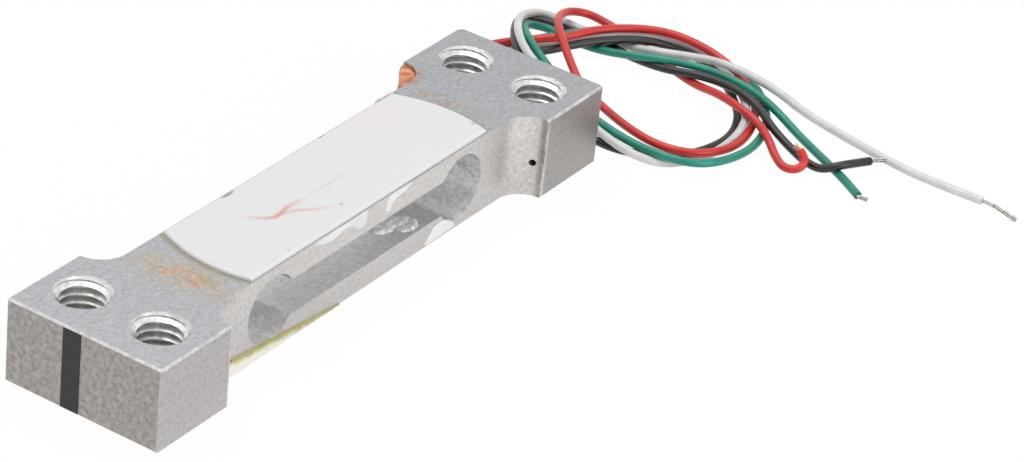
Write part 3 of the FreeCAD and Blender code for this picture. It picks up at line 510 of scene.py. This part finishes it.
for bulge, beside, amount in ((load_end_bulge, -0.35, 0.6), (fixed_end_bulge, 0.3, 0.35)):
    middle, lean, curve = bulge_terms(bulge)
    bend = add(tree, "Math", {0: where["Y"], 1: curve, 2: lean}, operation="MULTIPLY_ADD").outputs[0]
    arc = add(tree, "Math", {0: where["Y"], 1: bend, 2: middle + beside},
              operation="MULTIPLY_ADD").outputs[0]
    gap = add(tree, "Math", {0: where["X"], 1: arc}, operation="SUBTRACT").outputs[0]
    gap = add(tree, "Math", {0: gap}, operation="ABSOLUTE").outputs[0]
    line = add(tree, "MapRange", {"Value": gap, "From Min": 0.4, "From Max": 0.15}).outputs[0]
    line = add(tree, "Math", {0: line, 1: mask["level"]}, operation="MULTIPLY").outputs[0]
    metal = stained(tree, metal, line, amount, "#8F8766")

# %% Aluminium: gloss, bore marks and relief
# The bored walls are matt, apart from the near bore's dim half.
matt = add(tree, "Math", {0: mask["in_bore"], 1: mask["dim"]}, operation="SUBTRACT",
           use_clamp=True).outputs[0]
gloss = 0.42
for area, roughness in ((mask["sawn"], 0.58), (bright, 0.3), (load_curls, 0.7), (matt, 0.68)):
    gloss = add(tree, "Mix", {0: area, 2: gloss, 3: roughness}).outputs[0]

# The bores keep the rings of the boring tool, 0.55 mm apart, torn a little by chatter. They are
# fainter in the near bore.
rings = add(tree, "TexWave", {"Vector": place, "Scale": 0.57, "Distortion": 3.2,
                              "Detail": 3, "Detail Scale": 0.8},
            bands_direction="Y").outputs["Fac"]
ring_share = add(tree, "Math", {0: mask["behind"], 1: -0.35, 2: mask["in_bore"]},
                 operation="MULTIPLY_ADD", use_clamp=True).outputs[0]
ring_relief = add(tree, "Math", {0: rings, 1: ring_share}, operation="MULTIPLY").outputs[0]
relief = add(tree, "Math", {0: ring_relief, 1: 0.35, 2: texture}, operation="MULTIPLY_ADD").outputs[0]
bump = add(tree, "Bump", {"Height": relief, "Strength": 0.5, "Distance": 0.08 * MM})
tree.links.new(metal, shader.inputs["Base Color"])
tree.links.new(gloss, shader.inputs["Roughness"])
tree.links.new(bump.outputs["Normal"], shader.inputs["Normal"])
wear(nodes["body"], aluminium)
print("aluminium has", len(tree.nodes), "nodes")

# %% [markdown]
# ## Tapped M6 threads
# Four holes are tapped M6 x 1 through the 10 mm bar. A thread is one ridge wound round the hole,
# so a triangle is drawn as the ridge's section and the Screw modifier winds it at 1 mm a turn.
# The countersinks, cones at 90 degrees, then trim the ridge at both mouths with a Boolean.

# %% Tapped thread finish
tapped = mottled("tapped aluminium", ((0.3, "#BDBCBA"), (0.65, "#F0EFED")), 1.4, 3,
                 Metallic=1.0, Roughness=0.3)


def deselect():
    """Nothing selected, and object mode."""
    if bpy.context.object and bpy.context.object.mode != "OBJECT":
        bpy.ops.object.mode_set(mode="OBJECT")
    bpy.ops.object.select_all(action="DESELECT")


def pick(piece):
    """Selects one piece alone and makes it active."""
    deselect()
    piece.select_set(True)
    bpy.context.view_layer.objects.active = piece


def settle(piece):
    """Puts a finished piece's place into its mesh, and its object at the origin."""
    pick(piece)
    bpy.ops.object.transform_apply(location=True, rotation=True, scale=True)
    return piece


def apply_modifier(piece, kind, **settings):
    """Adds a modifier with its settings and applies it."""
    modifier = piece.modifiers.new(kind.title(), kind)
    for name, value in settings.items():
        setattr(modifier, name, value)
    bpy.context.view_layer.objects.active = piece
    bpy.ops.object.modifier_apply(modifier=modifier.name)


# %% One thread, then three copies
thread_major = 3.0 * MM
thread_minor = 2.46 * MM
pitch = 1.0 * MM
bar_bottom, bar_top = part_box("body")[0].z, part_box("body")[1].z
hole_x, hole_y = 34.0 * MM, 5.0 * MM
ridge_root = thread_major + 0.06 * MM       # a little inside the metal
cone_size = 6.2 * MM                        # as high as its radius, which makes 90 degrees

deselect()
bpy.ops.mesh.primitive_plane_add(size=1 * MM, location=(0, 0, 0))
ridge = bpy.context.object
ridge.name = "tapped_thread"
section = [(ridge_root, -0.49), (thread_minor, -0.07), (thread_minor, 0.07), (ridge_root, 0.49)]
for vertex, (radius, height) in zip((ridge.data.vertices[i] for i in (0, 1, 3, 2)), section):
    vertex.co = (radius, 0, height * pitch)
apply_modifier(ridge, "SCREW", angle=2 * math.pi, screw_offset=pitch, iterations=12, steps=64,
               render_steps=64, use_normal_calculate=True)
ridge.location = (0, 0, bar_bottom - pitch)
settle(ridge)
bpy.ops.object.mode_set(mode="EDIT")
bpy.ops.mesh.select_all(action="SELECT")
bpy.ops.mesh.remove_doubles(threshold=0.001 * MM)
bpy.ops.mesh.fill_holes(sides=4)
bpy.ops.mesh.select_all(action="SELECT")
bpy.ops.mesh.normals_make_consistent(inside=False)
bpy.ops.object.mode_set(mode="OBJECT")
print("wound ridge:", len(ridge.data.polygons), "faces")
for face_z, way in ((bar_top, 1), (bar_bottom, -1)):
    bpy.ops.mesh.primitive_cone_add(vertices=96, radius1=cone_size, radius2=0, depth=cone_size)
    cutter = bpy.context.object
    cutter.rotation_euler = (math.pi if way > 0 else 0, 0, 0)
    cutter.location = (0, 0, face_z - way * 0.1 * MM)
    settle(cutter)
    apply_modifier(ridge, "BOOLEAN", object=cutter, operation="DIFFERENCE", solver="EXACT")
    bpy.data.objects.remove(cutter)
print("trimmed ridge:", len(ridge.data.polygons), "faces")

hole_places = [(end * hole_x, side * hole_y, 0) for end in (-1, 1) for side in (-1, 1)]
threads = [ridge] + [new_object(f"tapped_thread_{number}", ridge.data.copy()) for number in (2, 3, 4)]
for thread, place in zip(threads, hole_places):
    thread.location = place
    settle(thread)
    bpy.ops.object.shade_smooth_by_angle(angle=math.radians(40))
    wear(thread, tapped)
    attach(thread, "root")
print("threads:", [thread.name for thread in threads])

# %% [markdown]
# ## White silicone
# The gauges lie under a coat of white RTV silicone, 0.4 mm thick, poured and left to level. It is
# matt to satin, faintly wavy, and so slightly see-through that the red enamelled wires under it
# show as soft pink lines. IOR 1.41, a little subsurface scattering and a broad bump give that.
# Where wires and chips show, the mesh carries attributes, because they follow the wires' routes
# and not the surface's own pattern.

# %% White silicone finish
def silicone_finish(name, colour, marked):
    """Poured white silicone. A marked one shows wires and chips from the mesh's attributes."""
    material, tree, shader, place = new_material(
        name, Roughness=0.42, IOR=1.41, Subsurface_Weight=0.2, Subsurface_Scale=1.0,
        Subsurface_Radius=(0.8 * MM, 0.7 * MM, 0.6 * MM))
    cloud = add(tree, "TexNoise", {"Vector": place, "Scale": 0.12, "Detail": 3}).outputs["Fac"]
    tint = add(tree, "ValToRGB", {0: cloud}, ((0.3, "#E0E1E3"), (0.6, colour)))
    tint = tint.outputs["Color"]
    if marked:
        for attribute, stain, amount in (("wire_trace", "#D6786C", 0.85), ("link_trace", "#BDB9BE", 0.5),
                                         ("blush", "#F0D9DC", 0.55), ("chip", "#77766A", 0.9)):
            shown = add(tree, "Attribute", attribute_name=attribute).outputs["Fac"]
            tint = stained(tree, tint, shown, amount, stain)
    ripple = add(tree, "TexNoise", {"Vector": place, "Scale": 0.8, "Detail": 4}).outputs["Fac"]
    bump = add(tree, "Bump", {"Height": ripple, "Strength": 0.3, "Distance": 0.05 * MM})
    tree.links.new(tint, shader.inputs["Base Color"])
    tree.links.new(bump.outputs["Normal"], shader.inputs["Normal"])
    return material


marked_silicone = silicone_finish("white silicone over wires", "#E2E1E1", True)
plain_silicone = silicone_finish("white silicone", "#ECE9E5", False)

# %% [markdown]
# ## The silicone coats
# A coat is a thin puddle with straight long sides, and ends that bulge toward the holes. A grid
# is added, its rows are drawn onto that outline with closer rows at the rim, and its height
# falls to the metal in a quarter round. Its border is then extruded down and closed.

# %% Coat outline
rim_width = 0.35


def bulge_x(bulge, y):
    """X on a curved end, at one Y."""
    middle, lean, curve = bulge_terms(bulge)
    return middle + lean * y + curve * y * y


def graded(count, width):
    """Places from 0 to 1 with closer rows in the rim at both ends."""
    rim = [0, 0.06, 0.17, 0.33, 0.58]
    share = rim_width / width
    last = count - 2 * len(rim) - 1
    inner = [share + (1 - 2 * share) * step / last for step in range(last + 1)]
    return [r * share for r in rim] + inner + [1 - r * share for r in reversed(rim)]


def close_underside(piece, reach):
    """Extrudes a sheet's border by reach and fills what it leaves open."""
    pick(piece)
    bpy.ops.object.mode_set(mode="EDIT")
    bpy.ops.mesh.select_mode(type="EDGE")
    bpy.ops.mesh.select_all(action="DESELECT")
    bpy.ops.mesh.select_non_manifold()
    bpy.ops.mesh.extrude_edges_move(TRANSFORM_OT_translate={"value": reach})
    bpy.ops.mesh.edge_face_add()
    bpy.ops.mesh.select_all(action="SELECT")
    bpy.ops.mesh.normals_make_consistent(inside=False)
    bpy.ops.object.mode_set(mode="OBJECT")
    bpy.ops.object.shade_smooth_by_angle(angle=math.radians(50))


def quarter_round(distance, width):
    """Height from 0 to 1 at a distance from a puddle's border."""
    share = min(max(distance / width, 0.0), 1.0)
    return math.sqrt(1 - (1 - share) ** 2)


def silicone_coat(name, long_count, cross_count, metal_z, way):
    """A coat on the metal's face at metal_z, rising by way."""
    deselect()
    bpy.ops.mesh.primitive_grid_add(x_subdivisions=long_count, y_subdivisions=cross_count, size=1)
    coat = bpy.context.object
    coat.name = name
    long_places = graded(long_count + 1, 43)
    cross_places = graded(cross_count + 1, 2 * coat_side)
    for vertex in coat.data.vertices:
        along = long_places[round((vertex.co.x + 0.5) * long_count)]
        across = cross_places[round((vertex.co.y + 0.5) * cross_count)]
        y = coat_side * (2 * across - 1)
        start, end = bulge_x(load_end_bulge, y), bulge_x(fixed_end_bulge, y)
        x = start + (end - start) * along
        border = min(coat_side - abs(y), x - start, end - x)
        wave = noise.noise((x * 0.22, y * 0.3, 0)) + 0.35 * noise.noise((x * 0.9, y * 0.9, 5))
        height = quarter_round(border, rim_width) * (0.36 + 0.035 * wave)
        vertex.co = Vector((x, y, height * way)) * MM + Vector((0, 0, metal_z))
    return coat


top_coat = silicone_coat("top_silicone_coat_poured", 330, 100, bar_top, 1)
bottom_coat = silicone_coat("bottom_silicone_coat_poured", 110, 44, bar_bottom, -1)
print("top coat:", len(top_coat.data.polygons), "faces")

# %% Wires, a blush and chips in the top coat
# A wire's point is X, Y and how strongly it shows, and a chip is X, Y, two radii and its depth.
red_wire = ((-11.8, 2.4, 0.0), (-10.9, 1.0, 0.35), (-10.3, 0.1, 0.6), (-9.3, -0.6, 0.95),
            (-8.2, -0.6, 1.0), (-6.9, -0.3, 0.75), (-5.1, -0.4, 0.35), (-3.6, -0.7, 0.0))
red_branch = ((-8.4, -0.8, 0.3), (-6.9, -1.2, 0.55), (-5.2, -2.6, 0.5), (-3.6, -3.6, 0.2),
              (-2.6, -4.0, 0.0))
grey_link = ((-5.6, -0.4, 0.0), (-3.0, -0.5, 0.5), (2.2, -0.6, 0.6), (6.2, -0.4, 0.0))
chips = ((-8.9, 6.05, 1.15, 0.4, 1.0), (7.9, 6.2, 0.7, 0.25, 0.8), (-2.3, -4.1, 0.28, 0.2, 0.7),
         (-13.5, -5.6, 0.25, 0.2, 0.45), (21.9, -4.4, 0.5, 0.3, 0.5))


def trace_strength(x, y, route, width):
    """How strongly a buried wire shows at a place: its own strength times its nearness."""
    strongest = 0.0
    for (ax, ay, aw), (bx, by, bw) in zip(route, route[1:]):
        run_x, run_y = bx - ax, by - ay
        share = ((x - ax) * run_x + (y - ay) * run_y) / (run_x ** 2 + run_y ** 2)
        share = min(max(share, 0.0), 1.0)
        gap = math.hypot(x - ax - share * run_x, y - ay - share * run_y)
        strongest = max(strongest, (aw + (bw - aw) * share) * max(0.0, 1 - gap / width))
    return strongest


def set_attribute(piece, name, values):
    """Stores one number for each vertex."""
    attribute = piece.data.attributes.new(name, "FLOAT", "POINT")
    attribute.data.foreach_set("value", values)


places = [(vertex.co.x / MM, vertex.co.y / MM) for vertex in top_coat.data.vertices]
traces, links, blushes, chipped = [], [], [], []
for x, y in places:
    traces.append(max(trace_strength(x, y, red_wire, 0.5), trace_strength(x, y, red_branch, 0.42)))
    links.append(trace_strength(x, y, grey_link, 0.3))
    blushes.append(max(0.0, 1 - math.hypot((x - 15) / 6, (y - 4.2) / 2.6)))
    chipped.append(max(depth * max(0.0, 1 - math.hypot((x - cx) / rx, (y - cy) / ry)) ** 0.5
                       for cx, cy, rx, ry, depth in chips))
for name, values in (("wire_trace", traces), ("link_trace", links), ("blush", blushes),
                     ("chip", chipped)):
    set_attribute(top_coat, name, values)
for vertex, depth in zip(top_coat.data.vertices, chipped):
    vertex.co.z -= (vertex.co.z - bar_top) * 0.7 * depth
print("wire shows on", sum(value > 0.1 for value in traces), "vertices")

close_underside(top_coat, (0, 0, -0.02 * MM))
close_underside(bottom_coat, (0, 0, 0.02 * MM))
wear(top_coat, marked_silicone)
wear(bottom_coat, plain_silicone)
for coat, node in ((top_coat, "top_silicone_coat"), (bottom_coat, "bottom_silicone_coat")):
    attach(coat, "root")
    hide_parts(node)

# %% [markdown]
# ## Smears, residue and the lower bead
# Wiped silicone and adhesive have soft outlines and no corners. Each is a puddle: a fine grid cut
# to a smooth closed outline through a few chosen points, domed toward its middle, and roughened
# by noise. The same function lays it on the bar's side or on the slot's floor.

# %% Puddles
def smooth_outline(points, steps=8):
    """A closed Catmull-Rom curve through points of a plane."""
    count = len(points)
    outline = []
    for index in range(count):
        p0, p1, p2, p3 = (Vector(points[(index + k) % count]) for k in (-1, 0, 1, 2))
        for step in range(steps):
            t = step / steps
            outline.append(0.5 * (2 * p1 + (p2 - p0) * t + (2 * p0 - 5 * p1 + 4 * p2 - p3) * t ** 2
                                  + (3 * p1 - p0 - 3 * p2 + p3) * t ** 3))
    return outline


def to_border(spot, outline):
    """The nearest place on an outline, and whether the spot is inside it."""
    nearest, least, inside = None, 1e9, False
    for a, b in zip(outline, outline[1:] + outline[:1]):
        run = b - a
        share = min(max((spot - a).dot(run) / run.length_squared, 0.0), 1.0)
        place = a + run * share
        if (spot - place).length < least:
            nearest, least = place, (spot - place).length
        if (a.y > spot.y) != (b.y > spot.y) and spot.x < a.x + (spot.y - a.y) / (b.y - a.y) * run.x:
            inside = not inside
    return nearest, least, inside


def puddle(name, points, thickness, rim, grain, frame_of, material, spacing=0.16):
    """A domed puddle on a plane. frame_of gives the plane's origin, two directions and outside."""
    origin, first, second, outward = (Vector(vector) for vector in frame_of)
    outline = smooth_outline(points)
    low = Vector((min(p.x for p in outline), min(p.y for p in outline)))
    size = Vector((max(p.x for p in outline), max(p.y for p in outline))) - low
    counts = [max(6, math.ceil(side / spacing)) for side in size]
    deselect()
    bpy.ops.mesh.primitive_grid_add(x_subdivisions=counts[0], y_subdivisions=counts[1], size=1)
    piece = bpy.context.object
    piece.name = name
    sheet = bmesh.new()
    sheet.from_mesh(piece.data)
    outside = []
    for vertex in sheet.verts:
        spot = Vector((low.x + (vertex.co.x + 0.5) * size.x, low.y + (vertex.co.y + 0.5) * size.y))
        nearest, distance, inside = to_border(spot, outline)
        if not inside and distance > spacing * 0.75:
            outside.append(vertex)
            continue
        if not inside or distance < spacing * 0.35:
            spot, distance = nearest, 0.0
        rough = 1 + grain * noise.fractal((spot.x * 1.3, spot.y * 1.3, len(name)), 1.0, 2.0, 3)
        height = thickness * quarter_round(distance, rim) * max(rough, 0.15)
        vertex.co = (origin + first * spot.x + second * spot.y + outward * height) * MM
    bmesh.ops.delete(sheet, geom=outside, context="VERTS")
    bmesh.ops.dissolve_degenerate(sheet, dist=0.01 * MM, edges=sheet.edges)
    sheet.to_mesh(piece.data)
    sheet.free()
    close_underside(piece, -outward * 0.03 * MM)
    wear(piece, material)
    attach(piece, "root")
    return piece


side_plane = ((0, -6.5, 0.4), (1, 0, 0), (0, 0, 1), (0, -1, 0))
slot_floor = ((0, 0, 3.2), (1, 0, 0), (0, 1, 0), (0, 0, 1))
smear_outlines = {
    "smear_load_side": ((-10.0, 9.9), (-8.9, 9.2), (-7.6, 8.9), (-6.2, 9.0), (-4.6, 9.3), (-3.4, 9.0),
                        (-2.4, 8.3), (-1.6, 8.0), (-0.8, 8.9), (-0.9, 9.9), (-2.8, 9.95), (-6.0, 9.95)),
    "smear_middle": ((2.9, 9.3), (2.8, 8.4), (3.6, 7.8), (3.9, 8.6), (4.9, 9.1), (6.6, 9.4), (7.4, 9.9),
                     (5.0, 9.95), (3.4, 9.9)),
    "smear_lower": ((11.2, 0.2), (11.6, 1.1), (12.6, 1.9), (14.4, 2.0), (16.0, 1.2), (16.7, 0.3),
                    (14.0, 0.15)),
}
wiped_silicone = silicone_finish("wiped silicone", "#FCFBF8", False)
smears = [puddle(name, outline, 0.08, 0.3, 0.3, side_plane, wiped_silicone)
          for name, outline in smear_outlines.items()]
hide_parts("side_silicone_smears")
print("smears:", [len(smear.data.polygons) for smear in smears])

# %% [markdown]
# ## Clear residue and yellowed adhesive
# A little clear silicone was left in the slot, lumpy and glassy, and a bead of adhesive along the
# waist's lower edge has yellowed to a pale green. Clear silicone is drawn pale and smooth, with a
# little transmission. The bead is a cloudy solid, cream below and yellow-green along its upper
# edge.

# %% Residue and bead
clear_silicone = mottled("clear silicone", ((0.4, "#D8D7D6"), (0.56, "#FFFFFF")), 1.8, 4, (0.5, 0.15),
                         Roughness=0.14, IOR=1.41, Transmission_Weight=0.1)

yellowed, tree, shader, place = new_material("yellowed adhesive", Roughness=0.4, IOR=1.45)
mottle = add(tree, "TexNoise", {"Vector": place, "Scale": 0.8, "Detail": 5}).outputs["Fac"]
climb = add(tree, "VectorMath", {0: place, 1: (0.095, 0.0, 1.0)}, operation="DOT_PRODUCT")
climb = add(tree, "MapRange", {"Value": climb.outputs["Value"], "From Min": -0.9,
                               "From Max": 0.1}).outputs[0]
mixed = add(tree, "Mix", {0: 0.35, 2: climb, 3: mottle}).outputs[0]
cream = add(tree, "ValToRGB", {0: mixed}, ((0.3, "#EFEDE4"), (0.5, "#DEDBB8"), (0.72, "#B3AF78")))
tree.links.new(cream.outputs["Color"], shader.inputs["Base Color"])
lumps = add(tree, "Bump", {"Height": mottle, "Strength": 0.5, "Distance": 0.1 * MM})
tree.links.new(lumps.outputs["Normal"], shader.inputs["Normal"])

residue_outline = ((5.6, -3.4), (6.3, -4.1), (7.6, -4.6), (8.3, -5.6), (9.8, -6.0), (10.9, -5.5),
                   (11.3, -4.3), (10.6, -3.3), (9.5, -2.6), (7.8, -2.2), (6.2, -2.5))
residue = puddle("slot_residue", residue_outline, 0.25, 0.5, 1.2, slot_floor, clear_silicone)
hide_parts("slot_silicone_residue")
bead_outline = ((-24.4, 0.0), (-24.2, 1.2), (-23.6, 1.95), (-21.5, 1.8), (-18.5, 1.45), (-15.0, 1.15),
                (-12.0, 0.8), (-9.0, 0.5), (-5.2, 0.2), (-5.1, -0.05), (-12.0, -0.08), (-18.0, -0.08))
bead = puddle("lower_edge_bead", bead_outline, 0.33, 0.5, 0.35, side_plane, yellowed)
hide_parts("lower_edge_adhesive")
print("residue and bead:", len(residue.data.polygons), len(bead.data.polygons), "faces")

# %% [markdown]
# ## Anchor adhesive and side sealant
# The leads are glued into the far left notch with orange-brown adhesive, and silicone covers the
# fine wires beside it. Both were squeezed in and slumped. A copy of the CAD solid is welded,
# remeshed in 0.15 mm cells and softened, then noise pushes the surface in and out a little.

# %% Slumped copies
def slumped(node, name, cell, soften, swell):
    """A softened, uneven copy of a CAD node."""
    piece = new_object(name, nodes[node].data.copy())
    pick(piece)
    bpy.ops.object.mode_set(mode="EDIT")
    bpy.ops.mesh.select_all(action="SELECT")
    bpy.ops.mesh.remove_doubles(threshold=0.001 * MM)
    bpy.ops.object.mode_set(mode="OBJECT")
    apply_modifier(piece, "REMESH", mode="VOXEL", voxel_size=cell)
    apply_modifier(piece, "SMOOTH", factor=0.5, iterations=soften)
    for vertex in piece.data.vertices:
        spot = vertex.co / MM
        vertex.co += vertex.normal * swell * noise.fractal(spot * 0.9, 1.0, 2.0, 3)
    bpy.ops.object.shade_smooth()
    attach(piece, "root")
    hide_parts(node)
    return piece


brown_adhesive = mottled("brown adhesive", ((0.3, "#8C5836"), (0.5, "#D98352"), (0.7, "#EBB48E")),
                         0.9, 4, (0.6, 0.12), Roughness=0.3, IOR=1.5, Subsurface_Weight=0.15,
                         Subsurface_Scale=1.0, Subsurface_Radius=(1.0 * MM, 0.5 * MM, 0.25 * MM))

anchor = slumped("lead_anchor_adhesive", "anchor_adhesive", 0.15 * MM, 10, 0.15 * MM)
wear(anchor, brown_adhesive)
sealant = slumped("side_wire_sealant", "side_sealant", 0.12 * MM, 3, 0.05 * MM)
wear(sealant, plain_silicone)
print("slumped:", len(anchor.data.polygons), len(sealant.data.polygons), "faces")

# %% [markdown]
# ## Marker tape
# A strip of black vinyl tape marks the load end's face. Vinyl is smooth, with a low sheen that
# looks bluish under a cool light, and its surface puckers slightly where it was pressed on.

# %% Black vinyl tape
vinyl = mottled("black vinyl tape", ((0.3, "#0D0C0E"), (0.7, "#19171B")), 0.7, 4, (0.5, 0.08),
                Roughness=0.32, IOR=1.5)
wear(nodes["marker_tape"], vinyl)

# %% [markdown]
# ## What the silicone hides
# The foil gauges, terminal boards, solder, resistor and enamelled wires can't be seen from
# outside, but the model is taken apart as well as looked at. Their CAD shapes are right, so each
# keeps its node and gets the finish of the real thing.

# %% Hidden pieces
# Constantan foil on amber polyimide film: the foil is what lies more than 0.06 mm off the metal,
# whose two faces are 5 mm from the bar's middle.
bar_middle, foil_start = 5.4, 5.06
gauge_foil, tree, shader, place = new_material("foil on polyimide film", Roughness=0.35, IOR=1.6)
weave = add(tree, "TexNoise", {"Vector": place, "Scale": 3.0, "Detail": 3}).outputs["Fac"]
film = add(tree, "ValToRGB", {0: weave}, ((0.35, "#B9772C"), (0.65, "#D0944A"))).outputs["Color"]
height = add(tree, "SeparateXYZ", {0: place}).outputs["Z"]
off_centre = add(tree, "Math", {0: height, 1: bar_middle}, operation="SUBTRACT").outputs[0]
from_middle = add(tree, "Math", {0: off_centre}, operation="ABSOLUTE").outputs[0]
foil = add(tree, "Math", {0: from_middle, 1: foil_start}, operation="GREATER_THAN").outputs[0]
gauge_colour = add(tree, "Mix", {0: foil, 6: film, 7: linear("#B9B2A6")}, data_type="RGBA")
tree.links.new(gauge_colour.outputs[2], shader.inputs["Base Color"])
tree.links.new(foil, shader.inputs["Metallic"])

grains = (0.3, 0.02)
board_film = mottled("polyimide board", ((0.35, "#A8641F"), (0.65, "#C4823A")), 2.0, 4, grains,
                     Roughness=0.4, IOR=1.6)
solder = mottled("tin solder", ((0.35, "#A9ABAE"), (0.65, "#D4D6D8")), 4.0, 4, grains,
                 Metallic=1.0, Roughness=0.28)
enamel = mottled("red enamelled wire", ((0.35, "#8E2A20"), (0.65, "#B8402F")), 2.0, 4, grains,
                 Roughness=0.25, IOR=1.55)
ceramic = mottled("resistor ceramic", ((0.35, "#2B2A2C"), (0.65, "#3A393C")), 3.0, 4, grains,
                  Roughness=0.5, IOR=1.6)
finishes = {"gauge": gauge_foil, "terminal_board": board_film, "solder_joints": solder,
            "lead_splices": solder, "wires": enamel, "zero_balance_resistor": ceramic}
for name, piece in nodes.items():
    for ending, finish in finishes.items():
        if name.endswith(ending):
            wear(piece, finish)
print("finished nodes:", sum(1 for piece in nodes.values() if piece.data.materials))

# %% [markdown]
# ## Floor, light and background
# The cell lies on a plain white sheet under two large soft lights, as for a catalogue. The sheet
# takes the shadow as an ordinary matt surface, but to the camera, and in reflections, most of it
# is an even white, so the background stays white without more light on the object.

# %% Floor
def sent_by_camera(tree):
    """1 for the camera's own rays, and for those that went by a reflection or a clear piece."""
    path = add(tree, "LightPath").outputs
    seen = path["Is Camera Ray"]
    for ray in ("Is Glossy Ray", "Is Transmission Ray"):
        seen = add(tree, "Math", {0: seen, 1: path[ray]}, operation="MAXIMUM").outputs[0]
    return seen


deselect()
bpy.ops.mesh.primitive_plane_add(size=4, location=(0, 0, -0.02 * MM))
floor = bpy.context.object
floor.name = "floor"
sheet = bpy.data.materials.new("white paper")
sheet.use_nodes = True
tree = sheet.node_tree
paper = tree.nodes["Principled BSDF"]
paper.inputs["Base Color"].default_value = linear("#F4F4F4")
paper.inputs["Roughness"].default_value = 0.9
share = add(tree, "Math", {0: sent_by_camera(tree), 1: 0.96}, operation="MULTIPLY").outputs[0]
white = add(tree, "Emission", {"Color": (1, 1, 1, 1), "Strength": 1.0})
mixed = add(tree, "MixShader", {0: share, 1: paper.outputs[0], 2: white.outputs[0]})
tree.links.new(mixed.outputs[0], tree.nodes["Material Output"].inputs["Surface"])
wear(floor, sheet)

# %% World and lamps
world = bpy.data.worlds.new("studio")
world.use_nodes = True
bpy.context.scene.world = world
tree = world.node_tree
strength = add(tree, "MapRange", {"Value": sent_by_camera(tree), "To Min": 0.42,
                                  "To Max": 1.0}).outputs[0]
background = tree.nodes["Background"]
background.inputs["Color"].default_value = (1, 1, 1, 1)
tree.links.new(strength, background.inputs["Strength"])


def softbox(name, place, size, power, target=(0.01, -0.01, 0)):
    """A square area lamp that faces a place on the object."""
    lamp_data = bpy.data.lights.new(name, "AREA")
    lamp_data.size = size
    lamp_data.energy = power
    lamp = new_object(name, lamp_data)
    lamp.location = place
    lamp.rotation_euler = (Vector(target) - Vector(place)).to_track_quat("-Z", "Y").to_euler()


softbox("overhead softbox", (0.06, 0.15, 0.6), 0.5, 2.2)
softbox("front softbox", (-0.08, -0.55, 0.25), 0.4, 1.6)
bpy.context.scene.view_settings.view_transform = "Standard"
